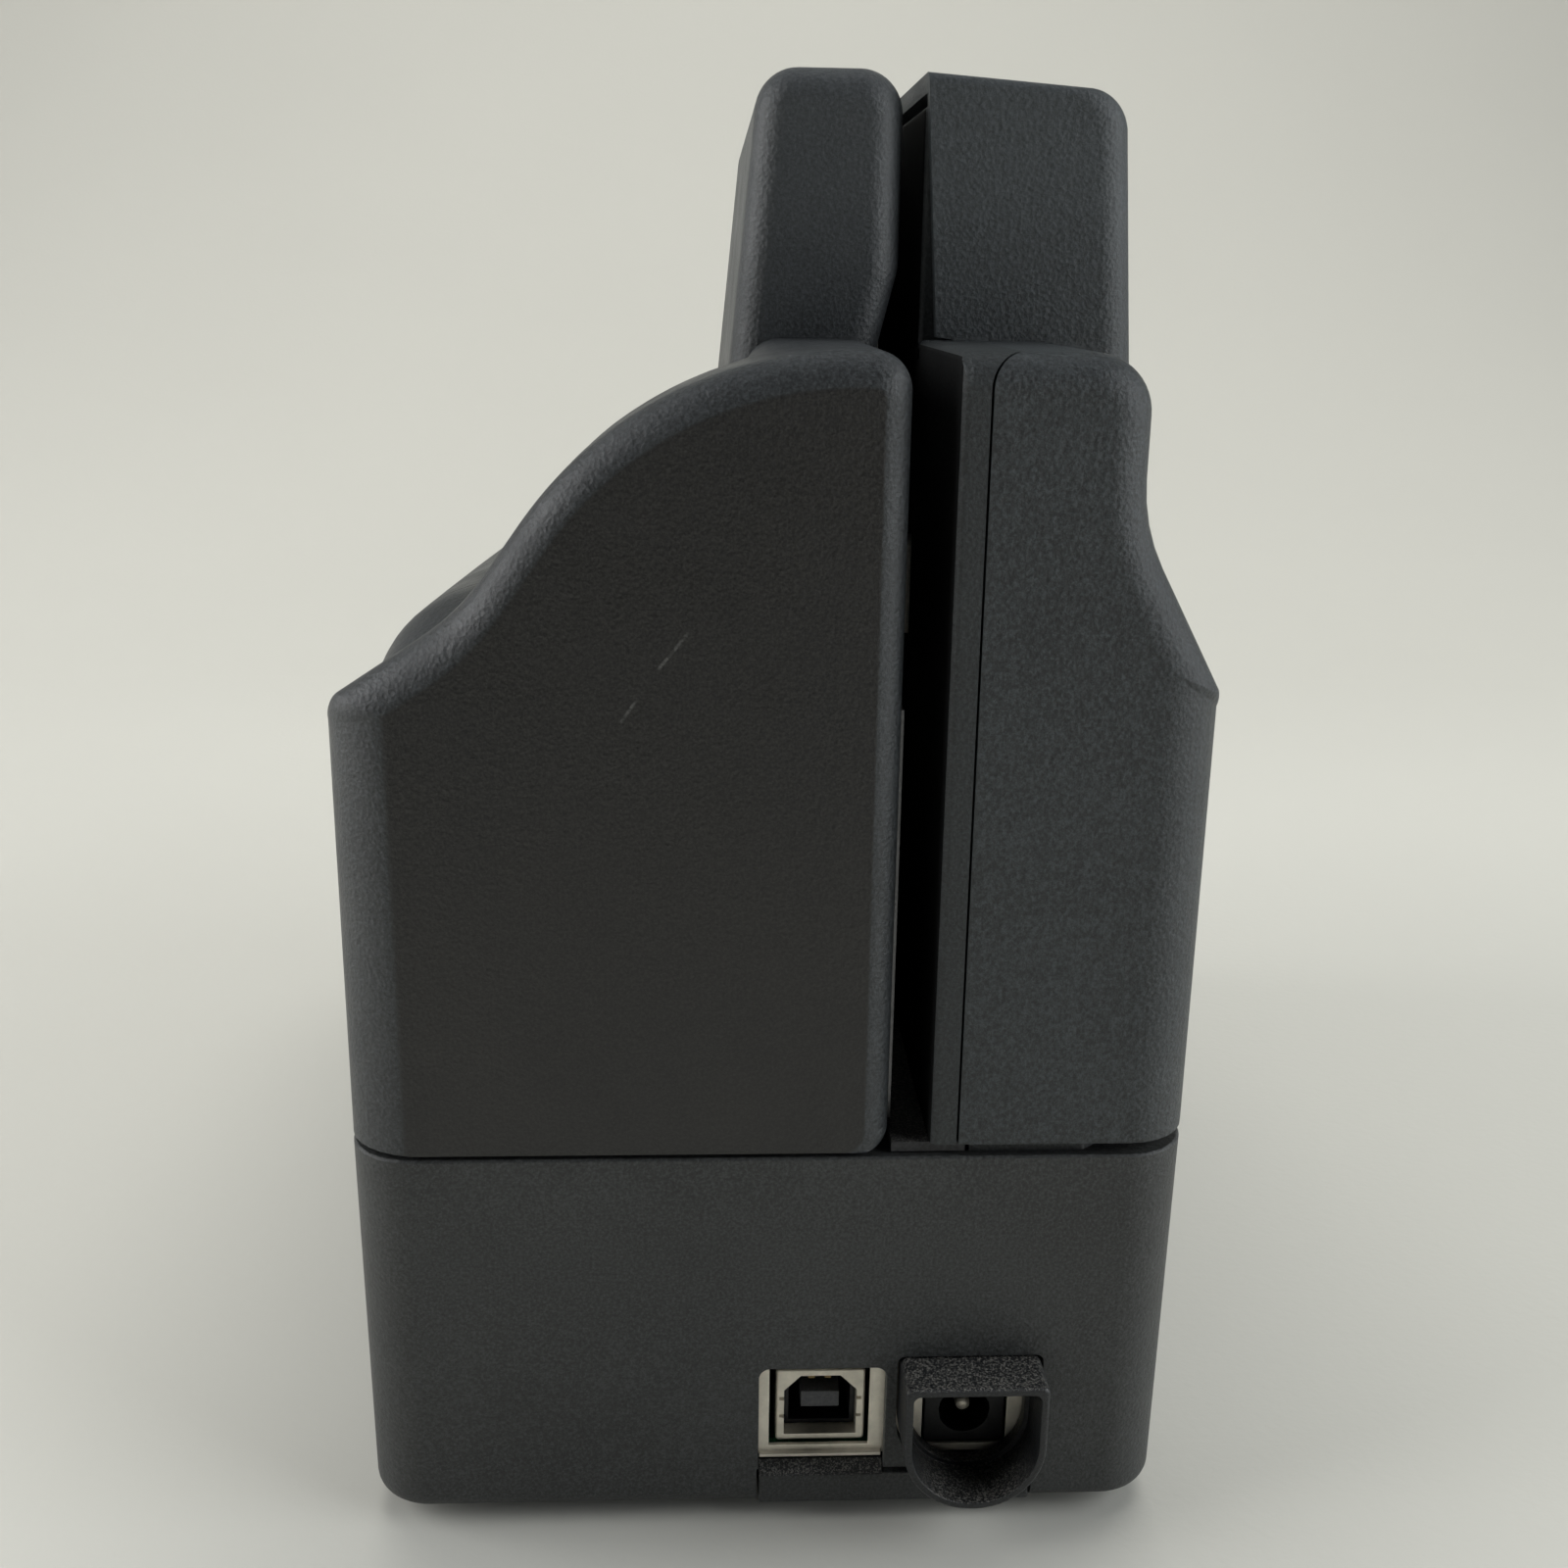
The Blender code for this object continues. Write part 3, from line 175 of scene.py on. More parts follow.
def rod_y(name, x, z, radius, y, sides=32):
    rings = [[(a, h, b) for a, b in circle(x, z, radius, sides)] for h in y]
    return ring_solid(name, rings)


def boolean(target, tool, operation):
    modifier = target.modifiers.new(operation.title(), "BOOLEAN")
    modifier.operation = operation
    modifier.solver = "EXACT"
    modifier.object = tool
    bpy.context.view_layer.update()
    graph = bpy.context.evaluated_depsgraph_get()
    result = bpy.data.meshes.new_from_object(target.evaluated_get(graph))
    target.modifiers.remove(modifier)
    target.data = result
    bpy.data.objects.remove(tool)
    return target


def cut(target, *tools):
    for tool in tools:
        boolean(target, tool, "DIFFERENCE")
    return target


def fuse(target, *tools):
    for tool in tools:
        boolean(target, tool, "UNION")
    return target


def finish_piece(obj, name, material, body, replaces=(), bevel=0.0, sharp=32.0):
    """Turns a scratch solid into a shown piece: metres, soft edges and clean shading."""
    mesh = obj.data
    bpy.data.objects.remove(obj)
    mesh.transform(Matrix.Scale(MM, 4))
    mesh.name = name
    piece = add_piece(name, mesh, material, body, replaces)
    soften(piece, bevel, sharp)
    return piece


def soften(piece, bevel=0.0, sharp=32.0):
    """Smooth shading with weighted normals, and a small bevel on the sharp edges."""
    mesh = piece.data
    mesh.shade_smooth()
    if bevel:
        modifier = piece.modifiers.new("edge_round", "BEVEL")
        modifier.width = bevel * MM
        modifier.segments = 2
        modifier.limit_method = "ANGLE"
        modifier.angle_limit = math.radians(sharp)
    mesh.set_sharp_from_angle(angle=math.radians(sharp))
    weighted = piece.modifiers.new("face_weights", "WEIGHTED_NORMAL")
    weighted.keep_sharp = not bevel
    weighted.weight = 60


# ---------------------------------------------------------------- outlines
def corner_turn(corners, i):
    """The unit directions away from corner i to its neighbours, and how far the path turns there."""
    corner = Vector(corners[i][:2])
    enter = (Vector(corners[i - 1][:2]) - corner).normalized()
    leave = (Vector(corners[(i + 1) % len(corners)][:2]) - corner).normalized()
    return enter, leave, math.pi - enter.angle(leave)


def arc_steps(corners, degrees_per_step=ARC_STEP):
    steps = []
    for i, corner in enumerate(corners):
        turn = math.degrees(corner_turn(corners, i)[2])
        steps.append(max(2, round(turn / degrees_per_step)) if corner[2] else 0)
    return steps


def rounded_outline(corners, steps=None):
    """Points of a counter-clockwise polygon of (x, z, corner radius)."""
    steps = steps or arc_steps(corners)
    points = []
    for i, (x, z, radius) in enumerate(corners):
        corner = Vector((x, z))
        if not steps[i]:
            points.append(tuple(corner))
            continue
        enter, leave, turn = corner_turn(corners, i)
        reach = radius * math.tan(turn / 2)
        centre = corner + (enter + leave).normalized() * (radius / math.cos(turn / 2))
        first = corner + enter * reach - centre
        swing = -first.angle_signed(corner + leave * reach - centre)
        for k in range(steps[i] + 1):
            c, s = math.cos(swing * k / steps[i]), math.sin(swing * k / steps[i])
            points.append((centre.x + first.x * c - first.y * s, centre.y + first.x * s + first.y * c))
    return points


def turn_of(a, b, c):
    return (b[0] - a[0]) * (c[1] - a[1]) - (b[1] - a[1]) * (c[0] - a[0])


def convex(corners, i):
    return turn_of(corners[i - 1], corners[i], corners[(i + 1) % len(corners)]) > 0


def shift_edges(corners, offsets):
    """The polygon's corners after each edge i (corner i to i+1) moves inwards by offsets[i]."""
    count = len(corners)
    lines = []
    for i in range(count):
        ax, az = corners[i][:2]
        bx, bz = corners[(i + 1) % count][:2]
        length = math.hypot(bx - ax, bz - az)
        ux, uz = (bx - ax) / length, (bz - az) / length
        lines.append((ax - uz * offsets[i], az + ux * offsets[i], ux, uz))
    moved = []
    for i in range(count):
        px, pz, pux, puz = lines[i - 1]
        qx, qz, qux, quz = lines[i]
        cross = pux * quz - puz * qux
        if abs(cross) < 1e-6:
            moved.append((qx, qz))
            continue
        along = ((qx - px) * quz - (qz - pz) * qux) / cross
        moved.append((px + pux * along, pz + puz * along))
    return moved


def inset(corners, rounds):
    """The outline where a quarter-round of the given radii meets the end face."""
    result = []
    for i, (x, z) in enumerate(shift_edges(corners, rounds)):
        radius = corners[i][2]
        if radius:
            least = min(rounds[i - 1], rounds[i])
            radius = max(0.3, radius - least) if convex(corners, i) else radius + least
        result.append((x, z, radius))
    return result


def spread_depths(rounds, steps):
    depths = []
    for i, count in enumerate(steps):
        if not count:
            depths.append(max(rounds[i - 1], rounds[i]))
            continue
        for k in range(count + 1):
            depths.append(rounds[i - 1] + (rounds[i] - rounds[i - 1]) * k / count)
    return depths


def end_rings(corners, rounds, y, sign, steps=None, crease=0.0):
    """Rings of a quarter-round end face, from the flat face at y to the full outline.

    A crease, in degrees, leaves a faint edge where the round meets the flat face.
    """
    start = math.radians(crease)
    room = 1 - math.sin(start)
    steps = steps or arc_steps(corners)
    outer = rounded_outline(corners, steps)
    inner = rounded_outline(inset(corners, rounds), steps)
    depths = spread_depths(rounds, steps)
    rings = []
    for k in range(CAP_STEPS + 1):
        angle = start + (math.pi / 2 - start) * k / CAP_STEPS
        s, c = (math.sin(angle) - math.sin(start)) / room, math.cos(angle) / math.cos(start)
        rings.append([
            (a[0] + (b[0] - a[0]) * s, y + sign * d * (1 - c), a[1] + (b[1] - a[1]) * s)
            for a, b, d in zip(inner, outer, depths)
        ])
    return rings


def casing_rings(corners, rounds, y, near_cap=True, far_cap=True):
    outer = rounded_outline(corners)
    near = end_rings(corners, rounds, y[0], 1) if near_cap else [[(x, y[0], z) for x, z in outer]]
    far = end_rings(corners, rounds, y[1], -1) if far_cap else [[(x, y[1], z) for x, z in outer]]
    return near + far[::-1]


def prism_y(corners, y):
    points = rounded_outline(corners)
    return ring_solid("prism", [[(x, h, z) for x, z in points] for h in y])


def plan_prism(corners, z):
    points = rounded_outline(corners)
    return ring_solid("prism", [[(x, y, h) for x, y in points] for h in z])


def rectangle(a, b, radius=0.0):
    return [(a[0], b[0], radius), (a[1], b[0], radius), (a[1], b[1], radius), (a[0], b[1], radius)]


def shifted(corners, wall, drop=None, skip=()):
    """The corners moved in by the wall's thickness; the edges in skip move out instead."""
    offsets = [-1.0 if i in skip else wall for i in range(len(corners))]
    if drop is not None:
        offsets[0] = -drop
    result = []
    for i, (x, z) in enumerate(shift_edges(corners, offsets)):
        radius = corners[i][2]
        if drop is not None and i in (0, 1):
            radius = 0
        elif radius:
            radius = max(0.8, radius - wall) if convex(corners, i) else radius + wall
        result.append((x, z, radius))
    return result


# ---------------------------------------------------------------- left casing
def hump_corners():
    """The S-curve of the connector end: wall, low shoulder, valley, broad crown, slot wall."""
    return [
        (-HALF, LEFT_BOTTOM, 0),
        (SLOT_LEFT, LEFT_BOTTOM, 3.0),
        (SLOT_LEFT, WING_TOP, 4.5),
        (-15.7, WING_TOP, 47.0),
        (-37.2, FOOT + 120.5, 30.0),
        (-HALF, FOOT + 109.7, 4.6),
    ]


def body_corners(t):
    """The body behind it: a ridge beside the slot over a shoulder that sinks with t, 0 to 1."""
    return [
        (-HALF, LEFT_BOTTOM, 0),
        (SLOT_LEFT, LEFT_BOTTOM, 3.0),
        (SLOT_LEFT, WING_TOP, 4.5),
        (-3.0 + 4.0 * t, WING_TOP, 4.5),
        (-6.6, SHOULDER_TOP, 7.0),
        (-34.0 + 1.0 * t, FOOT + 119.4 - 5.0 * t, 18.0),
        (-HALF, FOOT + 113.0 - 13.0 * t, 16.0),
    ]


CORNER_STEPS = 12
CREST_HEAD = 1 + 2 * (CORNER_STEPS + 1)
CREST_TAIL = CORNER_STEPS + 1
CREST_POINTS = 76


def left_steps(corners):
    crest = [max(2, round(step)) for step in arc_steps(corners, 3.0)[3:-1]]
    return [0, CORNER_STEPS, CORNER_STEPS, *crest, CORNER_STEPS]


def spaced(points, count):
    """Points evenly along a path, without its two ends."""
    path = [Vector(point) for point in points]
    reach = [0.0]
    for a, b in zip(path, path[1:]):
        reach.append(reach[-1] + (b - a).length)
    result, k = [], 0
    for i in range(1, count + 1):
        want = reach[-1] * i / (count + 1)
        while reach[k + 1] < want:
            k += 1
        result.append(tuple(path[k].lerp(path[k + 1], (want - reach[k]) / (reach[k + 1] - reach[k]))))
    return result


def even_crest(ring):
    """The ring with the same number of points along its crest, whatever its corners."""
    crest = ring[CREST_HEAD - 1 : len(ring) - CREST_TAIL + 1]
    return ring[:CREST_HEAD] + spaced(crest, CREST_POINTS) + ring[len(ring) - CREST_TAIL :]


def smooth(t):
    t = min(1.0, max(0.0, t))
    return t * t * (3 - 2 * t)


def left_section(y, wall=0.0):
    """The left casing's outline at a place along the track, moved in by a wall's thickness."""
    t = max(0.0, (y - BLOCK_NEAR) / (FAR - BLOCK_NEAR))
    rings = []
    for corners in (hump_corners(), body_corners(t)):
        steps = left_steps(corners)
        if wall:
            corners = shifted(corners, wall)
            corners[1] = (*corners[1][:2], 1.0)
        rings.append(even_crest([(x, y, z) for x, z in rounded_outline(corners, steps)]))
    blend = smooth((y - NEAR - 14.0) / 28.0)
    dip = 4.2 * math.sin(math.pi * min(1.0, max(0.0, (y - NEAR - 6.0) / 34.0))) ** 2
    section = []
    for a, b in zip(*rings):
        x, h, z = Vector(a).lerp(Vector(b), blend)
        side = smooth((-18.0 - x) / 22.0) * smooth((z - FOOT - 84.0) / 16.0)
        section.append((x, h, z - dip * side))
    return section


HUMP_ROUNDS = [0, 3.5, 4.4, 4.4, 5.2, CORNER_ROUND]
BODY_ROUNDS = [0, 3.5, 4.4, 4.4, 4.4, 4.4, CORNER_ROUND]


def left_outer():
    near_end = end_rings(hump_corners(), HUMP_ROUNDS, NEAR, 1, left_steps(hump_corners()), 14.0)
    far_end = end_rings(body_corners(1), BODY_ROUNDS, FAR, -1, left_steps(body_corners(1)))
    rings = [even_crest(ring) for ring in near_end]
    first, mid, last = NEAR + CORNER_ROUND + 0.2, BLOCK_NEAR + 7.0, FAR - CORNER_ROUND - 0.3
    rings += [left_section(first + (mid - first) * k / 24) for k in range(1, 25)]
    rings += [left_section(mid + (last - mid) * k / 8) for k in range(1, 9)]
    rings += [even_crest(ring) for ring in far_end[::-1]]
    return ring_solid("left_outer", rings)


def within_walls(cutter):
    """Keeps a cutter inside the walls' rounded plan, a hair clear of its own flat sides."""
    core = plan_prism(plan_corners(WALL + 0.05), (DECK_UNDERSIDE - 5, TOWER_TOP))
    return boolean(cutter, core, "INTERSECT")


def left_inner():
    """The hollow of the left casing, open below."""
    places = [NEAR + WALL + 5.0 * k for k in range(11)] + [BLOCK_NEAR + 30.0 * k for k in range(1, 6)]
    rings = []
    for y in [*places, FAR - WALL]:
        ring = left_section(y, WALL)
        floor = [i for i, (x, h, z) in enumerate(ring) if z < LEFT_BOTTOM + WALL + 0.9]
        rings.append([(x, h, z - 8.0 if i in floor else z) for i, (x, h, z) in enumerate(ring)])
    return within_walls(ring_solid("left_inner", rings))


def left_tower_corners():
    return [
        (-8.9, FOOT + 112.0, 0),
        (13.5, FOOT + 112.0, 0),
        (13.5, FOOT + 146.0, 0),
        (TOWER_SLOT_LEFT, FOOT + 160.0, 8.0),
        (TOWER_SLOT_LEFT, TOWER_TOP, 5.7),
        (-1.8, TOWER_TOP, 5.7),
    ]


LEFT_TOWER_ROUNDS = [0, 3.4, 4.2, 4.6, 4.6, 4.2]


def slot_window(y, z):
    return box("window", (SLOT_LEFT - 5, SLOT_LEFT + 5), y, z)


def sensor_span():
    """The image sensors' window: along the track, and in height."""
    play = 0.6
    return (SENSOR[0].y - play, SENSOR[1].y + play), (SENSOR[0].z - play, SENSOR[1].z + play)


def lid_region(gap, hinge_side):
    corners = [
        (-HALF - 5, LID_SKIN_Z - gap, 0),
        (-HALF + 6, LID_SKIN_Z - gap, 0),
        (-HALF + 6, SHOULDER_TOP - 24, 0),
        (-HALF + 22, SHOULDER_TOP - 9, 0),
        (LID_AXIS[0] + hinge_side, SHOULDER_TOP - 9, 0),
        (LID_AXIS[0] + hinge_side, SHOULDER_TOP + 5, 0),
        (-HALF - 5, SHOULDER_TOP + 5, 0),
    ]
    return prism_y(corners, (LID_Y[0] - gap, LID_Y[1] + gap))


def build_left_casing(material):
    casing = left_outer()
    tower = casing_rings(left_tower_corners(), LEFT_TOWER_ROUNDS, (BLOCK_NEAR, BLOCK_FAR))
    fuse(casing, ring_solid("tower", tower))
    cut(casing, left_inner())
    cut(casing, prism_y(shifted(left_tower_corners(), WALL), (BLOCK_NEAR + WALL, BLOCK_FAR - WALL)))
    cut(casing, lid_region(0.45, 3.0))
    for y in (EXIT_Y, FEED_Y):
        for low, high in TYRE_Z:
            cut(casing, slot_window((y - 10, y + 10), (low - 1.5, high + 1.5)))
    cut(casing, slot_window(*sensor_span()))
    cut(casing, slot_window((HEAD[0].y - 0.8, HEAD[1].y + 0.8), (FLOOR_TOP + 3, FLOOR_TOP + 18)))
    cut(casing, slot_window((CRADLE[0].y + 1, CRADLE[1].y - 1), (FOOT + 66, FOOT + 95)))
    light_low, light_high = box_mm("status_light")
    light_at = ((light_low.x + light_high.x) / 2, (light_low.y + light_high.y) / 2)
    cut(casing, turned("hole", light_at, [(WING_TOP - 6, 2.3), (WING_TOP + 3, 2.3)], 32))
    finish_piece(casing, "left_casing_shell", material, "base", ["left_casing"], 0.25)


def build_lid(material):
    lid = left_outer()
    boolean(lid, lid_region(0, 0), "INTERSECT")
    cut(lid, left_inner())
    fuse(lid, rod_y("barrel", *LID_AXIS, 2.1, LID_Y, 32))
    notch_x, notch_z = (LID_AXIS[0] - 3, LID_AXIS[0] + 5), (LID_AXIS[1] - 5, LID_AXIS[1] + 2.0)
    for y in (LID_Y[0] + 12, LID_Y[1] - 18):
        cut(lid, box("notch", notch_x, (y - 0.3, y + 6.3), notch_z))
    cut(lid, rod_y("bore", *LID_AXIS, 1.1, (LID_Y[0] - 5, LID_Y[1] + 5), 24))
    middle = sum(LID_Y) / 2
    finger = rectangle((-HALF - 3, -HALF + 1.1), (LID_SKIN_Z - 3, LID_SKIN_Z + 2.2))
    cut(lid, prism_y(finger, (middle - 11, middle + 11)))
    finish_piece(lid, "cartridge_lid_shell", material, "lid", ["cartridge_lid"], 0.25)


# ---------------------------------------------------------------- right casing
def wing_corners(left=COVER_EDGE):
    """Right wing: a neck at the top that flares out to the full width lower down."""
    return [
        (left, DOOR_BOTTOM, 0),
        (HALF, DOOR_BOTTOM, 0),
        (HALF, FOOT + 110.5, 5.5),
        (42.2, FOOT + 131.2, 21.5),
        (42.2, WING_TOP, 7.0),
        (left, WING_TOP, 1.2),
    ]


WING_ROUNDS = [0, CORNER_ROUND, 5.2, 5.2, 4.2]
BLOCK_ROUNDS = [0, 4.6, 4.6, 1.4, 0, 0, 0]


def strip_region(gap):
    """The zone of the slot strip: its right edge curves over the cover's top corner."""
    edge, bend = STRIP_RIGHT + 0.1 + gap, 4.0
    points = [(edge, DOOR_BOTTOM - 6.0), (edge, WING_TOP - bend)]
    for k in range(1, 9):
        a = math.pi / 2 * k / 8
        points.append((edge + bend * (1 - math.cos(a)), WING_TOP - bend * (1 - math.sin(a))))
    points += [(edge + bend, WING_TOP + 3.0), (SLOT_RIGHT - 6.0, WING_TOP + 3.0)]
    points.append((SLOT_RIGHT - 6.0, DOOR_BOTTOM - 6.0))
    return points


def near_zone(gap):
    """The strip region as a solid, for the connector end only."""
    return ring_solid("zone", [[(x, y, z) for x, z in strip_region(gap)] for y in (NEAR - 5, BLOCK_NEAR)])


def near_wing(far):
    """The whole rounded connector end of the door, from the slot to the outer side."""
    rings = casing_rings(wing_corners(SLOT_RIGHT), [*WING_ROUNDS, 1.0], (NEAR, far), far_cap=False)
    return ring_solid("cover", rings)


def block_corners():
    """Right middle: the cover leans in towards the top and carries the right tower."""
    return [
        (COVER_EDGE + 1.0, DOOR_BOTTOM - 2.0, 0),
        (HALF - 0.3, DOOR_BOTTOM - 2.0, 0),
        (HALF - 0.3, FOOT + 92.0, 30.0),
        (46.2, FOOT + 181.9, 6.0),
        (SLOT_RIGHT, FOOT + 183.8, 0),
        (SLOT_RIGHT + 2.2, WING_TOP + 0.4, 0),
        (COVER_EDGE + 1.0, WING_TOP + 0.1, 0),
    ]


def build_right_casing(material):
    cover = cut(near_wing(BLOCK_NEAR + 2), near_zone(COVER_SEAM))
    far = casing_rings(wing_corners(), [*WING_ROUNDS, 0.6], (BLOCK_FAR - 2, FAR), near_cap=False)
    far_wing = ring_solid("far", far)
    block = casing_rings(block_corners(), BLOCK_ROUNDS, (BLOCK_NEAR, BLOCK_FAR))
    fuse(cover, ring_solid("block", block), far_wing)
    cut(cover, box("below", (0, HALF + 5), (NEAR - 5, FAR + 5), (DOOR_BOTTOM - 4, DOOR_BOTTOM)))
    block_inside = (BLOCK_NEAR + WALL, BLOCK_FAR - WALL)
    for reach in ((NEAR + WALL, BLOCK_NEAR + WALL + 1), (BLOCK_FAR - WALL - 1, FAR - WALL)):
        cut(cover, within_walls(prism_y(shifted(wing_corners(), WALL, 5, (5,)), reach)))
    cut(cover, prism_y(shifted(block_corners(), WALL, 5, (4, 5, 6)), block_inside))
    left = (SLOT_RIGHT - 5, COVER_EDGE + 5)
    cut(cover, box("open", left, (NEAR + WALL, FAR - WALL), (DOOR_BOTTOM - 5, WING_TOP - WALL)))
    cut(cover, box("open", left, block_inside, (DOOR_BOTTOM - 5, FOOT + 181.0)))
    finish_piece(cover, "right_casing_shell", material, "door", ["right_casing"], 0.22)


def build_strip(material):
    """The inner moulding on the right of the slot, rounded on its slot-side ends."""
    step_near, step_far = BLOCK_NEAR + WALL + 0.3, BLOCK_FAR - WALL - 0.3
    outline = [
        (NEAR + 0.6, strip_low.z, 1.2),
        (FAR, strip_low.z, 1.2),
        (FAR, WING_TOP - 0.2, 3.0),
        (step_far, WING_TOP - 0.2, 0),
        (step_far, FOOT + 180.0, 1.0),
        (step_near, FOOT + 180.0, 1.0),
        (step_near, WING_TOP - 0.2, 0),
        (NEAR + 0.6, WING_TOP - 0.2, 4.0),
    ]
    steps = arc_steps(outline)
    rings = []
    for k in range(6):
        a = math.pi / 2 * k / 5
        points = rounded_outline(inset(outline, [0.9 * (1 - math.sin(a))] * 8), steps)
        rings.append([(SLOT_RIGHT + 0.9 * (1 - math.cos(a)), y, z) for y, z in points])
    rings.append([(STRIP_RIGHT, y, z) for y, z in rounded_outline(outline, steps)])
    wall = ring_solid("strip", rings)
    lip = boolean(near_wing(BLOCK_NEAR - 4.0), near_zone(0.0), "INTERSECT")
    hollow = rectangle((SLOT_RIGHT + 2.6, COVER_EDGE + 8), (DOOR_BOTTOM - 9, WING_TOP - 6.4))
    cut(lip, prism_y(hollow, (NEAR + 6, BLOCK_NEAR)))
    fuse(wall, lip)
    through = (SLOT_RIGHT - 4, SLOT_RIGHT + 8)
    for y in (EXIT_Y, FEED_Y):
        cut(wall, box("window", through, (y - 7, y + 7), (TYRE_Z[0][0] - 1.5, TYRE_Z[1][1] + 1.5)))
    cut(wall, box("window", through, *sensor_span()))
    piece = finish_piece(wall, "slot_strip", material, "door", ["right_track_wall"], 0.2)
    # Painted shade on the strip's faces that look into the slot.
    paint_slot_shade(piece)


# ---------------------------------------------------------------- base
def plan_corners(inset_by=0.0):
    radius = max(0.8, CORNER_ROUND - inset_by)
    return rectangle((-HALF + inset_by, HALF - inset_by), (NEAR + inset_by, FAR - inset_by), radius)


def collar_outline(grow=0.0):
    half = (collar_high.x - collar_low.x) / 2 + grow
    low, high = collar_low.z - grow, collar_high.z + grow
    return [
        (COLLAR_X - half, low, half - 0.2),
        (COLLAR_X + half, low, half - 0.2),
        (COLLAR_X + half, high, 1.0),
        (COLLAR_X - half, high, 1.0),
    ]


def build_base_shell(material):
    foot_round = 2.6
    steps = arc_steps(plan_corners())
    outer = rounded_outline(plan_corners(BASE_DRAFT), steps)
    inner = rounded_outline(plan_corners(BASE_DRAFT + foot_round), steps)
    rings = []
    for k in range(8):
        t = math.pi / 2 * k / 7
        s, z = math.sin(t), FOOT + foot_round * (1 - math.cos(t))
        rings.append([(a[0] + (b[0] - a[0]) * s, a[1] + (b[1] - a[1]) * s, z) for a, b in zip(inner, outer)])
    rings.append([(x, y, DECK - 0.3) for x, y in rounded_outline(plan_corners(), steps)])
    rings.append([(x, y, DECK) for x, y in rounded_outline(plan_corners(0.3), steps)])
    shell = ring_solid("base", rings)
    cut(shell, plan_prism(plan_corners(WALL), (FOOT + WALL, DECK_UNDERSIDE)))
    cut(shell, plan_prism(plan_corners(5.0), (FOOT - 5, FOOT + WALL + 1)))
    cut(shell, box("notch", UPSTAND_X, (NEAR - 5, NEAR + 5.2), (FOOT - 5, PORT_CUT_Z[0] + 1)))
    cut(shell, prism_y(rectangle(PORT_CUT_X, PORT_CUT_Z, 1.5), (NEAR - 5, NEAR + WALL + 1)))
    cut(shell, prism_y(collar_outline(0.3), (NEAR - 5, NEAR + WALL + 1)))
    for y in (EXIT_Y, FEED_Y):
        cut(shell, turned("hole", (DRIVE_X, y), [(DECK_UNDERSIDE - 2, 2.9), (DECK + 2, 2.9)], 32))
    land = [
        (SLOT_RIGHT + 5.2, NEAR + 1.6, 0),
        (HALF - 14.0, NEAR + 1.6, 1.0),
        (HALF - 8.0, NEAR + 6.6, 3.0),
        (HALF - 8.0, FAR - 6.6, 3.0),
        (HALF - 14.0, FAR - 1.6, 1.0),
        (SLOT_RIGHT + 5.2, FAR - 1.6, 0),
    ]
    fuse(shell, plan_prism(land, (DECK - 0.8, DECK + 1.2)))
    magnet_low, magnet_high = box_mm("door_magnet")
    magnet_at = ((magnet_low.x + magnet_high.x) / 2, (magnet_low.y + magnet_high.y) / 2)
    cut(shell, turned("pocket", magnet_at, [(DECK - 2.0, 5.3), (DECK + 3, 5.3)], 32))
    finish_piece(shell, "base_shell_fine", material, "base", ["base_shell"], 0.25)


def build_collar(material):
    """The U-shaped collar round the power plug: a lip in front and an open sleeve behind."""
    outline = collar_outline()
    steps = arc_steps(outline)
    front, back = collar_low.y, collar_high.y
    rings = []
    for k in range(5):
        a = math.pi / 2 * k / 4
        points = rounded_outline(inset(outline, [0.5 * (1 - math.sin(a))] * 4), steps)
        rings.append([(x, front + 0.5 * (1 - math.cos(a)), z) for x, z in points])
    rings.append([(x, back, z) for x, z in rounded_outline(outline, steps)])
    collar = ring_solid("collar", rings)
    cut(collar, prism_y(collar_outline(-1.05), (front - 5, NEAR + 0.9)))
    cut(collar, prism_y(collar_outline(-1.7), (NEAR, NEAR + 10)))
    finish_piece(collar, "plug_collar", material, "base", ["power_plug_collar"], 0.15, 50.0)


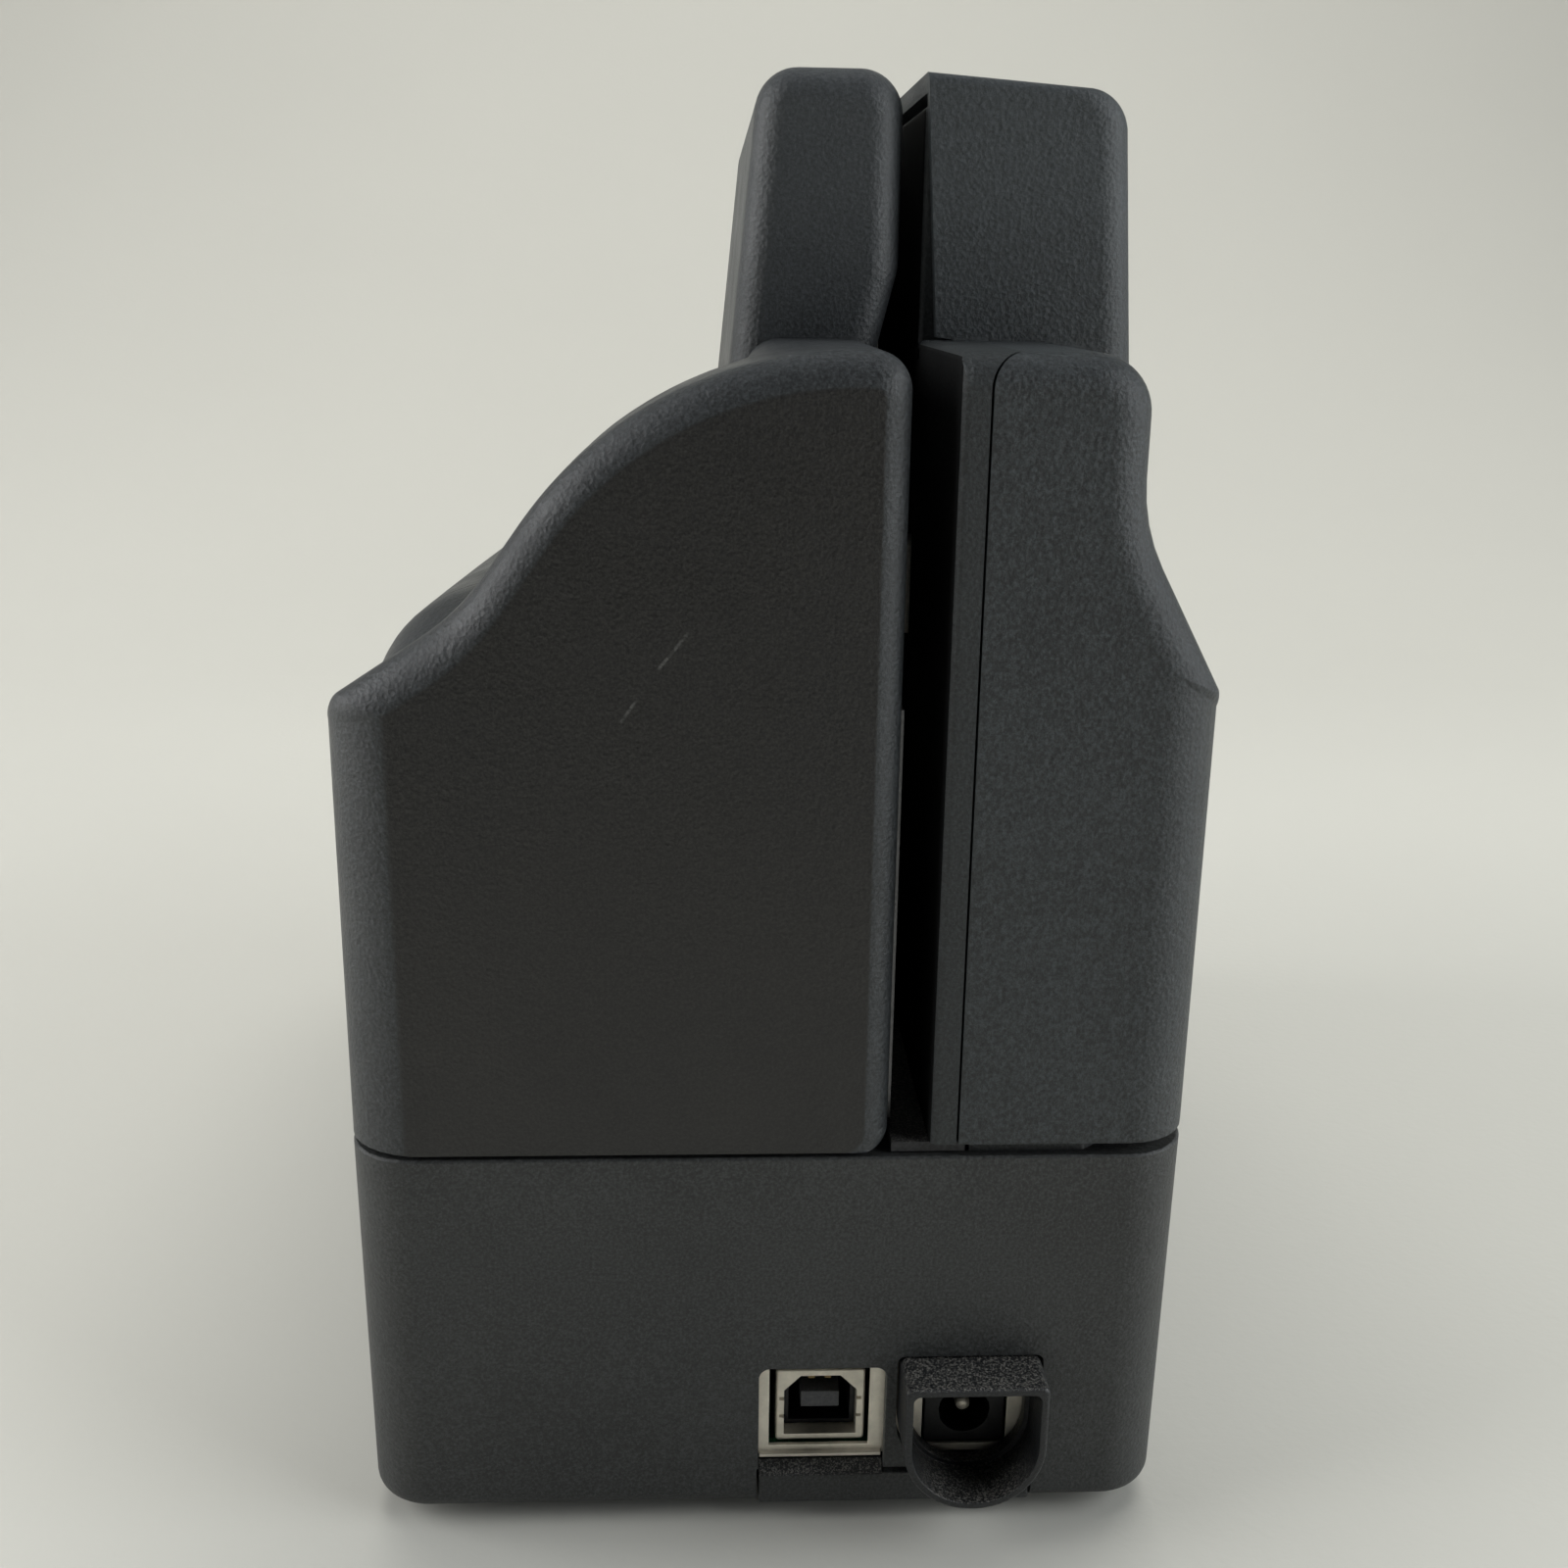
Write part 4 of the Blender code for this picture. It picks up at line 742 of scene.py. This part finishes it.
# ---------------------------------------------------------------- materials
class Nodes:
    """A short way to add and link shader nodes."""

    def __init__(self, name):
        self.material = bpy.data.materials.new(name)
        self.material.use_nodes = True
        self.tree = self.material.node_tree
        self.shader = self.tree.nodes["Principled BSDF"]
        self.coords = self.add("ShaderNodeTexCoord").outputs["Object"]

    def add(self, kind, **values):
        node = self.tree.nodes.new(kind)
        for key, value in values.items():
            if hasattr(node, key):
                setattr(node, key, value)
            else:
                node.inputs[key.replace("_", " ").title()].default_value = value
        return node

    def link(self, out, into):
        self.tree.links.new(out, into)

    def noise(self, size_mm, detail=2.0, rough=0.5, stretch=None):
        """Noise whose features are about size_mm across."""
        node = self.add("ShaderNodeTexNoise", scale=1.0 / (size_mm * MM), detail=detail, roughness=rough)
        vector = self.coords
        if stretch:
            mapping = self.add("ShaderNodeMapping")
            mapping.inputs["Scale"].default_value = stretch
            self.link(self.coords, mapping.inputs["Vector"])
            vector = mapping.outputs["Vector"]
        self.link(vector, node.inputs["Vector"])
        return node.outputs["Fac"]

    def axis_of(self, vector, axis):
        node = self.add("ShaderNodeSeparateXYZ")
        self.link(vector, node.inputs["Vector"])
        return node.outputs[axis]

    def facing(self, axis):
        """How far the true surface faces along an axis, -1 to 1."""
        return self.axis_of(self.add("ShaderNodeTexCoord").outputs["Normal"], axis)

    def place(self, axis):
        return self.axis_of(self.coords, axis)

    def scratches(self, strokes):
        """Thin broken strokes on the connector face: (x, z, angle in degrees, length), in metres."""
        total = None
        for x, z, angle, length in strokes:
            c, s = math.cos(math.radians(angle)), math.sin(math.radians(angle))
            dx, dz = self.math("SUBTRACT", self.place("X"), x), self.math("SUBTRACT", self.place("Z"), z)
            along = self.math("ADD", self.math("MULTIPLY", dx, c), self.math("MULTIPLY", dz, s))
            across = self.math("SUBTRACT", self.math("MULTIPLY", dz, c), self.math("MULTIPLY", dx, s))
            thin = self.remap(self.math("ABSOLUTE", across, 0.0), 0.00008, 0.00026, 1.0, 0.0)
            short = self.remap(self.math("ABSOLUTE", along, 0.0), length * 0.35, length * 0.5, 1.0, 0.0)
            stroke = self.math("MULTIPLY", thin, short)
            total = self.math("ADD", total, stroke) if total else stroke
        broken = self.remap(self.noise(0.9, 3.0, 0.7), 0.42, 0.60, 0.15, 0.9)
        return self.math("MULTIPLY", total, broken)

    def remap(self, value, low, high, to_low=0.0, to_high=1.0):
        node = self.add("ShaderNodeMapRange")
        self.link(value, node.inputs["Value"])
        for key, number in (("From Min", low), ("From Max", high), ("To Min", to_low), ("To Max", to_high)):
            node.inputs[key].default_value = number
        return node.outputs["Result"]

    def math(self, operation, a, b):
        node = self.add("ShaderNodeMath", operation=operation)
        for socket, value in zip(node.inputs, (a, b)):
            if isinstance(value, (int, float)):
                socket.default_value = value
            else:
                self.link(value, socket)
        return node.outputs["Value"]

    def mix_colour(self, factor, a, b):
        node = self.add("ShaderNodeMix", data_type="RGBA")
        self.link(factor, node.inputs["Factor"])
        for socket, value in ((node.inputs[6], a), (node.inputs[7], b)):
            if isinstance(value, tuple):
                socket.default_value = (*value, 1.0)
            else:
                self.link(value, socket)
        return node.outputs[2]

    def bump(self, height, distance_mm):
        node = self.add("ShaderNodeBump")
        node.inputs["Strength"].default_value = 1.0
        node.inputs["Distance"].default_value = distance_mm * MM
        self.link(height, node.inputs["Height"])
        return node.outputs["Normal"]


def moulded_plastic(name, colour, grain_mm, depth_mm, roughness, smudge=0.3, speckle=0.5, dust=0.0):
    """Textured ABS: eroded grain, cloudy colour, hand smudges that change the gloss, and painted light that
    makes it lighter high on the object.

    Returns the node helper, with its last colour in base, so that a casing can add to it.
    """
    n = Nodes(name)
    cloud = n.noise(38.0, 4.0, 0.6)
    smears = n.noise(9.0, 6.0, 0.65)
    grain = n.noise(grain_mm, 4.0, 0.8)
    light, dark = tuple(c * 1.25 for c in colour), tuple(c * 0.82 for c in colour)
    base = n.mix_colour(n.remap(cloud, 0.35, 0.65), dark, light)
    base = n.mix_colour(n.remap(grain, 0.40, 0.50, speckle, 0.0), base, tuple(c * 0.12 for c in colour))
    bright = tuple(c * 2.6 + 0.004 for c in colour)
    base = n.mix_colour(n.remap(grain, 0.51, 0.62, 0.0, speckle), base, bright)
    pores = n.add("ShaderNodeTexVoronoi", feature="F1", scale=1.0 / (grain_mm * 1.3 * MM))
    n.link(n.coords, pores.inputs["Vector"])
    relief = n.math("ADD", grain, n.math("MULTIPLY", pores.outputs["Distance"], 0.6))
    if dust:
        lying = n.remap(n.facing("Z"), 0.3, 0.9)
        flecks = n.remap(n.noise(0.32, 2.0, 0.9), 0.50, 0.60)
        cover = n.math("MULTIPLY", n.math("MULTIPLY", lying, flecks), dust)
        base = n.mix_colour(cover, base, (0.17, 0.165, 0.15))
    # Painted light: the plastic turns lighter above the wing tops, mottled by the grain.
    high = n.remap(n.place("Z"), (WING_TOP - 4.0) * MM, (WING_TOP + 18.0) * MM, 0.0, 0.7)
    base = n.mix_colour(high, base, n.mix_colour(n.remap(grain, 0.34, 0.66), *painted_high_tones(colour)))
    n.base = base
    n.link(base, n.shader.inputs["Base Color"])
    gloss = n.remap(smears, 0.35, 0.75, roughness - smudge * 0.10, roughness + smudge * 0.20)
    gloss = n.math("ADD", gloss, n.remap(grain, 0.3, 0.7, -0.05, 0.08))
    n.link(gloss, n.shader.inputs["Roughness"])
    n.link(n.bump(relief, depth_mm), n.shader.inputs["Normal"])
    return n


def painted_high_tones(colour):
    """The two tones of painted light on the plastic high on the object, lighter than its own colour."""
    return tuple(c * 1.35 + 0.004 for c in colour), tuple(c * 2.5 + 0.012 for c in colour)


def worn_and_shaded_casing():
    """The left casing: grey moulded plastic whose connector face is painted dark as shade, with brownish
    smudges, scratches and painted bounce light towards the bottom.
    """
    n = moulded_plastic("casing_left", (0.023, 0.026, 0.028), 0.48, 0.10, 0.43, 0.6)
    # Painted shade: faces turned straight to the front, below the wing tops, get a near-black colour in place
    # of the plastic's own.
    front = n.remap(n.facing("Y"), -0.985, -0.999)
    below = n.remap(n.place("Z"), WING_TOP * MM, (WING_TOP - 2.0) * MM)
    painted_shade_mask = n.math("MULTIPLY", front, below)
    patches = n.remap(n.noise(26.0, 4.0, 0.6), 0.35, 0.65)
    grain = n.remap(n.noise(0.36, 4.0, 0.8), 0.44, 0.60)
    shade_and_smudges = n.mix_colour(patches, (0.0010, 0.0010, 0.0010), (0.0030, 0.0024, 0.0018))
    shade_and_smudges = n.mix_colour(grain, shade_and_smudges, (0.0190, 0.0178, 0.0160))
    # Painted bounce light: the connector face gets lighter towards the bottom.
    low = n.remap(n.place("Z"), 0.115, 0.055, 0.0, 0.55)
    shade_and_smudges = n.mix_colour(low, shade_and_smudges, (0.0200, 0.0196, 0.0185))
    scratch = n.scratches(((-0.0123, 0.1195, 51.0, 0.0060), (-0.0174, 0.1125, 55.0, 0.0038)))
    shade_and_smudges = n.mix_colour(scratch, shade_and_smudges, (0.11, 0.11, 0.106))
    # Lays the painted shade, with its smudges, painted bounce light and scratches, over the front faces.
    n.link(n.mix_colour(painted_shade_mask, n.base, shade_and_smudges), n.shader.inputs["Base Color"])
    return n.material


def slot_painted_shade():
    """Painted shade for the sides of the document slot: a dull near black, with a little paper dust."""
    n = moulded_plastic("slot_painted_shade", (0.0030, 0.0032, 0.0034), 0.45, 0.05, 0.75, 0.2, 0.4)
    n.shader.inputs["Specular IOR Level"].default_value = 0.12
    return n.material


def paint_slot_shade(piece):
    """Gives the strip's faces that look into the document slot the painted shade, a dull near black."""
    piece.data.materials.append(MATERIALS["slot"])
    for face in piece.data.polygons:
        if face.normal.x < -0.85 and abs(face.center.x / MM - SLOT_RIGHT) < 0.7:
            face.material_index = 1


def rubber(name, colour, roughness=0.8):
    n = Nodes(name)
    cloud = n.noise(6.0, 4.0, 0.6)
    dark, light = tuple(c * 0.7 for c in colour), tuple(c * 1.6 for c in colour)
    base = n.mix_colour(n.remap(cloud, 0.3, 0.7), dark, light)
    n.link(base, n.shader.inputs["Base Color"])
    n.link(n.remap(cloud, 0.3, 0.7, roughness - 0.1, roughness + 0.1), n.shader.inputs["Roughness"])
    n.link(n.bump(n.noise(0.35, 3.0), 0.03), n.shader.inputs["Normal"])
    return n.material


def metal(name, colour, roughness, brush=None, stain=0.2, metallic=1.0):
    n = Nodes(name)
    n.shader.inputs["Metallic"].default_value = metallic
    streaks = n.noise(0.5, 4.0, 0.6, brush or (1.0, 0.06, 1.0))
    cloud = n.noise(3.0, 5.0, 0.6)
    base = n.mix_colour(n.remap(cloud, 0.35, 0.75, 0.0, stain), colour, tuple(c * 0.45 for c in colour))
    n.link(base, n.shader.inputs["Base Color"])
    n.link(n.remap(streaks, 0.3, 0.7, roughness - 0.08, roughness + 0.12), n.shader.inputs["Roughness"])
    n.link(n.bump(streaks, 0.008), n.shader.inputs["Normal"])
    return n.material


def board_material():
    n = Nodes("circuit_board")
    tracks = n.add("ShaderNodeTexBrick", scale=260.0)
    n.link(n.coords, tracks.inputs["Vector"])
    base = n.mix_colour(tracks.outputs["Fac"], (0.012, 0.09, 0.035), (0.02, 0.16, 0.06))
    n.link(base, n.shader.inputs["Base Color"])
    n.link(n.remap(n.noise(4.0), 0.3, 0.7, 0.25, 0.4), n.shader.inputs["Roughness"])
    return n.material


def glass_material():
    n = Nodes("sensor_glass")
    base = n.mix_colour(n.remap(n.noise(12.0, 4.0), 0.4, 0.7), (0.012, 0.014, 0.015), (0.03, 0.034, 0.036))
    n.link(base, n.shader.inputs["Base Color"])
    n.link(n.remap(n.noise(5.0, 5.0), 0.3, 0.8, 0.04, 0.16), n.shader.inputs["Roughness"])
    n.shader.inputs["Coat Weight"].default_value = 0.6
    return n.material


MATERIALS = {
    # The left casing's material carries painted shade and painted bounce light on its connector face.
    "left": worn_and_shaded_casing(),
    "strip": moulded_plastic("casing_strip", (0.015, 0.018, 0.019), 0.46, 0.12, 0.50, 0.25).material,
    "right": moulded_plastic("casing_right", (0.021, 0.025, 0.027), 0.50, 0.14, 0.46, 0.25, 0.6).material,
    "base": moulded_plastic("casing_base", (0.025, 0.027, 0.027), 0.44, 0.09, 0.48, 0.35, 0.5).material,
    "collar": moulded_plastic(
        "collar_plastic", (0.007, 0.008, 0.009), 0.42, 0.10, 0.44, 0.3, 0.6, 1.0
    ).material,
    "floor": moulded_plastic("track_plastic", (0.016, 0.016, 0.017), 0.45, 0.08, 0.6, 0.3, 0.5, 0.8).material,
    # Painted shade for the sides of the slot.
    "slot": slot_painted_shade(),
    "black": moulded_plastic("black_plastic", (0.004, 0.004, 0.006), 0.4, 0.03, 0.42, 0.3).material,
    "tongue": moulded_plastic("tongue_plastic", (0.085, 0.088, 0.095), 0.4, 0.02, 0.5, 0.3, 0.2).material,
    "cradle": moulded_plastic("cradle_plastic", (0.02, 0.12, 0.06), 0.5, 0.05, 0.5, 0.3, 0.2).material,
    "nylon": moulded_plastic("nylon", (0.62, 0.60, 0.55), 0.5, 0.01, 0.5, 0.3, 0.1).material,
    "light": moulded_plastic("light_pipe", (0.50, 0.54, 0.52), 0.6, 0.004, 0.3, 0.2, 0.1).material,
    "rubber": rubber("rubber", (0.018, 0.018, 0.018)),
    "tyre": rubber("roller_rubber", (0.05, 0.05, 0.052), 0.7),
    "nickel": metal("nickel_plate", (0.96, 0.90, 0.77), 0.36, (1.0, 1.0, 0.2), 0.45, 0.5),
    "steel": metal("zinc_steel", (0.55, 0.56, 0.57), 0.36),
    "dark_steel": metal("dark_steel", (0.16, 0.16, 0.165), 0.42),
    "contact": metal("contact_brass", (0.30, 0.22, 0.11), 0.5),
    "brass": metal("brass", (0.72, 0.52, 0.24), 0.32),
    "board": board_material(),
    "glass": glass_material(),
}


# ---------------------------------------------------------------- small parts
def tyre_pair_profile():
    """Two tyres on a thin sleeve: (height, radius), with rounded shoulders on each tyre."""
    profile = []
    for low, high in TYRE_Z:
        profile += [(low, 8.0), (low + 0.3, 8.7), (low + 1.0, 9.0)]
        profile += [(high - 1.0, 9.0), (high - 0.3, 8.7), (high, 8.0)]
    sleeve = [(TYRE_Z[0][1], 3.7), (TYRE_Z[1][0], 3.7)]
    return profile[:6] + sleeve + profile[6:]


def idler_profile(low, high):
    """Two grooved wheels at the ends of a slim spindle."""
    profile = []
    for z, end in ((low, low + IDLER_WHEEL), (high - IDLER_WHEEL, high)):
        profile += [(z, 1.2), (z, 4.4), (z + 0.6, 5.0), (z + 4.0, 5.0), (z + 4.6, 4.6), (z + 8.4, 4.6)]
        profile += [(z + 9.0, 5.0), (end - 0.6, 5.0), (end, 4.4), (end, 1.2)]
    return profile


def build_turned_parts():
    """Lathe-smooth versions of the tyres, the idlers and the feet."""
    for label, y in (("exit", EXIT_Y), ("feed", FEED_Y)):
        tyre = turned("tyre", (DRIVE_X, y), tyre_pair_profile())
        bore = [(TYRE_Z[0][0] - 2, 2.8), (TYRE_Z[1][1] + 2, 2.8)]
        cut(tyre, turned("bore", (DRIVE_X, y), bore, 48))
        node, body = f"{label}_roller_tyres", f"{label}_roller"
        finish_piece(tyre, f"{label}_tyres_fine", MATERIALS["tyre"], body, [node], 0.0, 40)
        node, body = f"{label}_pinch_roller", f"{label}_idler"
        low, high = box_mm(node)
        idler = turned("idler", ((low.x + high.x) / 2, y), idler_profile(low.z, high.z))
        finish_piece(idler, f"{label}_idler_fine", MATERIALS["nylon"], body, [node], 0.0, 40)
    for number in range(1, 5):
        node = f"rubber_foot_{number}"
        low, high = box_mm(node)
        at = ((low.x + high.x) / 2, (low.y + high.y) / 2)
        foot = turned("foot", at, [(0, 5.4), (0.15, 5.8), (0.5, 6.1), (high.z - 0.2, 6.9), (high.z, 7.0)])
        finish_piece(foot, f"foot_{number}_fine", MATERIALS["rubber"], "base", [node], 0.0, 60)


def build_usb():
    """The data socket: a folded shell with rolled edges, a black insert and its contacts."""
    y = (usb_low.y, usb_high.y)
    shell = plan_rounded_box((usb_low.x, usb_high.x), y, (usb_low.z, usb_high.z), 0.5)
    cut(shell, prism_y(usb_opening(0.5), (y[0] - 1, y[1] - 0.5)))
    for side in (-1, 1):
        edge = USB_X + side * 4.75
        for z in (USB_Z - 1.9, USB_Z + 0.8):
            nick = (min(edge, edge + side * 0.75), max(edge, edge + side * 0.75))
            cut(shell, box("nick", nick, (y[0] - 1, y[0] + 1.2), (z, z + 0.45)))
    nickel, black = MATERIALS["nickel"], MATERIALS["black"]
    finish_piece(shell, "usb_shell_fine", nickel, "base", ["usb_socket_shell"], 0.08, 40)
    liner = prism_y(usb_opening(0.45), (y[0] + 2.2, y[1] - 0.8))
    cut(liner, prism_y(usb_opening(-0.2), (y[0] - 1, y[1] - 5.8)))
    finish_piece(liner, "usb_insert_fine", black, "base", ["usb_socket_insert"], 0.1, 40)
    tongue_x, tongue_z = (USB_X - 2.6, USB_X + 2.6), (USB_Z - 0.9, USB_Z + 1.5)
    tongue = box("tongue", tongue_x, (y[0] + 0.9, y[1] - 5.5), tongue_z)
    finish_piece(tongue, "usb_tongue", MATERIALS["tongue"], "base", (), 0.15)
    for number, side in enumerate((-1, 1), start=1):
        x = USB_X + side * 1.1
        contact_y, contact_z = (y[0] + 1.9, y[1] - 6.4), (USB_Z + 2.8, USB_Z + 3.3)
        contact = box("contact", (x - 0.45, x + 0.45), contact_y, contact_z)
        finish_piece(contact, f"usb_contact_{number}", MATERIALS["contact"], "base", (), 0.05)


def build_port_tray():
    """The folded plate behind the port cut-out: a back, with a hole for each socket, and a lip."""
    top = shield_high.z
    back = (shield_low.y, shield_low.y + 0.5)
    foot = PORT_CUT_Z[0] + 1.8
    tray = box("tray", (shield_low.x, shield_high.x), back, (foot - 0.5, top))
    jack_low, jack_high = box_mm("power_jack_body")
    reach = (back[0] - 2, back[1] + 2)
    cut(tray, box("hole", (USB_X - 6.9, USB_X + 6.5), reach, (USB_Z - 5.55, USB_Z + 6.3)))
    jack_z = (jack_low.z - 0.3, jack_high.z + 0.3)
    cut(tray, box("hole", (jack_low.x - 0.3, jack_high.x + 0.3), reach, jack_z))
    lip_x, lip_y = (PORT_CUT_X[0] + 0.2, PORT_CUT_X[1] - 0.2), (NEAR + WALL + 0.1, back[1])
    lip = box("lip", lip_x, lip_y, (foot - 0.5, foot))
    fuse(tray, lip)
    finish_piece(tray, "port_tray", MATERIALS["nickel"], "base", ["port_shield"], 0.22)
    bottom, back_y = PORT_CUT_Z[0] - 0.2, NEAR + WALL
    sill = [(NEAR + 0.5, bottom), (back_y, bottom), (back_y, PORT_CUT_Z[0] + 1.2)]
    sides = (PORT_CUT_X[0] + 0.1, PORT_CUT_X[1] - 0.1)
    ramp = ring_solid("sill", [[(x, y, z) for y, z in sill] for x in sides])
    finish_piece(ramp, "port_sill", MATERIALS["collar"], "base", (), 0.1)


def plan_rounded_box(x, y, z, radius):
    corners = [(x[0], z[0], radius), (x[1], z[0], radius), (x[1], z[1], radius), (x[0], z[1], radius)]
    return ring_solid("box", casing_rings(corners, [0.35] * 4, y, far_cap=False))


def usb_opening(grow):
    half, low, high, chamfer = 4.35 + grow, USB_Z - 4.0 - grow, USB_Z + 4.0 + grow, 2.2
    return [
        (USB_X - half, low, 0),
        (USB_X + half, low, 0),
        (USB_X + half, high - chamfer, 0),
        (USB_X + half - chamfer, high, 0),
        (USB_X - half + chamfer, high, 0),
        (USB_X - half, high - chamfer, 0),
    ]


def build_jack_pin():
    low, high = box_mm("power_jack_pin")
    x, z = (low.x + high.x) / 2, (low.z + high.z) / 2
    stations = [(low.y, 0.35), (low.y + 0.12, 0.7), (low.y + 0.4, 0.95), (low.y + 0.8, 1.0), (high.y, 1.0)]
    rings = [[(a, h, b) for a, b in circle(x, z, radius, 32)] for h, radius in stations]
    pin = ring_solid("pin", rings)
    nickel = MATERIALS["nickel"]
    finish_piece(pin, "jack_pin_fine", nickel, "base", ["power_jack_pin"], 0.0, 50)


# The CAD nodes that stay, by material and edge rounding in millimetres.
KEPT = (
    ("base", 0.3, "base_plate"),
    ("board", 0.1, "main_board"),
    ("floor", 0.1, "track_floor"),
    ("light", 0.3, "status_light"),
    ("cradle", 0.3, "cartridge_cradle"),
    ("nickel", 0.2, "magnetic_read_head"),
    ("dark_steel", 0.05, "exit_guide_plate"),
    ("glass", 0.08, "front_sensor_glass rear_sensor_glass"),
    ("rubber", 0.1, "timing_belt"),
    ("rubber", 0.2, "sensor_pad_1 sensor_pad_2"),
    ("brass", 0.1, "motor_pulley exit_roller_bearing feed_roller_bearing"),
    ("black", 0.15, "power_jack_body exit_pinch_arm feed_pinch_arm"),
    ("black", 0.2, "cartridge_lid_bracket"),
    ("black", 0.3, "front_image_sensor rear_image_sensor"),
    ("black", 0.6, "ink_cartridge"),
    ("steel", 0.05, "exit_pinch_spring feed_pinch_spring"),
    ("steel", 0.1, "exit_roller_shaft feed_roller_shaft exit_pinch_pivot feed_pinch_pivot cartridge_lid_pin"),
    ("steel", 0.15, "exit_bearing_bracket feed_bearing_bracket"),
    ("steel", 0.2, "door_magnet door_hinge_post door_frame motor_bracket read_head_bracket"),
    ("steel", 0.2, "base_screw_1 base_screw_2 base_screw_3 base_screw_4"),
    ("steel", 0.6, "drive_motor"),
)


def dress_kept_nodes():
    for material, bevel, nodes in KEPT:
        for node in nodes.split():
            dress(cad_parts[node], MATERIALS[material], bevel)


def dress(piece, material, bevel):
    """Gives a CAD node its material and soft edges, and leaves its mesh as it is."""
    piece.data.materials.clear()
    piece.data.materials.append(material)
    weld = piece.modifiers.new("weld", "WELD")
    weld.merge_threshold = 0.00001
    piece.data.shade_smooth()
    modifier = piece.modifiers.new("edge_round", "BEVEL")
    modifier.width = bevel * MM
    modifier.segments = 2
    modifier.limit_method = "ANGLE"
    modifier.angle_limit = math.radians(40)
    weights = piece.modifiers.new("face_weights", "WEIGHTED_NORMAL")
    weights.keep_sharp = True


# ---------------------------------------------------------------- room, light and camera
def build_stage():
    """A pale floor that curves up into a wall behind the object."""
    floor_reach, bend, height, half_width = 0.42, 0.85, 2.4, 2.8
    section = [(-2.4, 0.0), (floor_reach - 0.001, 0.0)]
    for k in range(33):
        a = math.pi / 2 * k / 32
        section.append((floor_reach + bend * math.sin(a), bend * (1 - math.cos(a))))
    section.append((floor_reach + bend, height))
    bm = bmesh.new()
    rows = [[bm.verts.new((x, y, z)) for y, z in section] for x in (-half_width, half_width)]
    for i in range(len(section) - 1):
        bm.faces.new((rows[0][i], rows[1][i], rows[1][i + 1], rows[0][i + 1]))
    mesh = bpy.data.meshes.new("backdrop")
    bm.to_mesh(mesh)
    bm.free()
    mesh.shade_smooth()
    n = Nodes("backdrop_paper")
    patches = n.noise(260.0, 2.0, 0.5)
    base = n.mix_colour(n.remap(patches, 0.35, 0.65), (0.583, 0.580, 0.534), (0.593, 0.590, 0.543))
    n.link(base, n.shader.inputs["Base Color"])
    n.shader.inputs["Roughness"].default_value = 0.75
    n.link(n.bump(n.noise(2.0, 3.0), 0.05), n.shader.inputs["Normal"])
    backdrop = add_piece("backdrop", mesh, n.material, None)


def area_light(name, place, target, size, watts, colour=(1.0, 1.0, 1.0), mirrored=True):
    light = bpy.data.lights.new(name, "AREA")
    light.shape = "RECTANGLE"
    light.size, light.size_y = size
    light.energy = watts
    light.color = colour
    obj = bpy.data.objects.new(name, light)
    obj.location = place
    obj.rotation_euler = (Vector(target) - Vector(place)).to_track_quat("-Z", "Y").to_euler()
    obj.visible_glossy = mirrored
    bpy.context.scene.collection.objects.link(obj)


def build_light():
    """Bright surroundings behind, above and at both sides, and a dim room behind the camera."""
    world = bpy.data.worlds.new("studio")
    world.use_nodes = True
    bpy.context.scene.world = world
    tree = world.node_tree
    background = tree.nodes["Background"]
    coords = tree.nodes.new("ShaderNodeTexCoord")
    split = tree.nodes.new("ShaderNodeSeparateXYZ")
    tree.links.new(coords.outputs["Generated"], split.inputs["Vector"])
    ramp = tree.nodes.new("ShaderNodeMapRange")
    ramp.interpolation_type = "SMOOTHSTEP"
    for key, value in (("From Min", -0.35), ("From Max", 1.0), ("To Min", 0.02), ("To Max", 1.35)):
        ramp.inputs[key].default_value = value
    tree.links.new(split.outputs["Y"], ramp.inputs["Value"])
    tree.links.new(ramp.outputs["Result"], background.inputs["Strength"])
    background.inputs["Color"].default_value = (0.92, 0.96, 1.0, 1.0)
    area_light("ceiling", (0.1, 0.55, 1.45), (0.0, 0.15, 0.0), (1.5, 0.9), 15.5, (1.0, 0.985, 0.95), False)
    area_light("left_window", (-1.0, -0.10, 0.5), (0.0, 0.0, 0.1), (0.8, 0.9), 9.5)
    area_light("right_window", (0.95, -0.35, 0.45), (0.0, 0.0, 0.1), (0.8, 0.9), 9.0, (0.95, 0.98, 1.0))


def build_camera():
    """The main view: close, from the connector end, looking down a little."""
    pitch, yaw, roll = math.radians(16.328), math.radians(-2.855), math.radians(0.883)
    cam = bpy.data.cameras.new("camera")
    cam.lens, cam.sensor_width = 39.096, 36.0
    cam.clip_start, cam.clip_end = 0.01, 20.0
    camera = bpy.data.objects.new("camera", cam)
    forward = Vector((0, math.cos(pitch), -math.sin(pitch)))
    right, up = Vector((1, 0, 0)), Vector((0, math.sin(pitch), math.cos(pitch)))
    rolled_right = right * math.cos(roll) + up * math.sin(roll)
    rolled_up = up * math.cos(roll) - right * math.sin(roll)
    turn = Matrix.Rotation(yaw, 3, "Z")
    axes = Matrix([turn @ rolled_right, turn @ rolled_up, turn @ -forward]).transposed()
    place = Vector((-8.91, NEAR - 191.52, FOOT + 157.42)) * MM
    camera.matrix_world = Matrix.Translation(place) @ axes.to_4x4()
    bpy.context.scene.collection.objects.link(camera)
    bpy.context.scene.camera = camera


def write_sizes():
    bpy.context.view_layer.update()


build_camera()
build_stage()
build_light()
build_left_casing(MATERIALS["left"])
build_lid(MATERIALS["left"])
build_right_casing(MATERIALS["right"])
build_strip(MATERIALS["strip"])
build_base_shell(MATERIALS["base"])
build_collar(MATERIALS["collar"])
build_turned_parts()
build_usb()
build_port_tray()
build_jack_pin()
dress_kept_nodes()
bpy.context.scene.view_settings.view_transform = "Standard"
write_sizes()
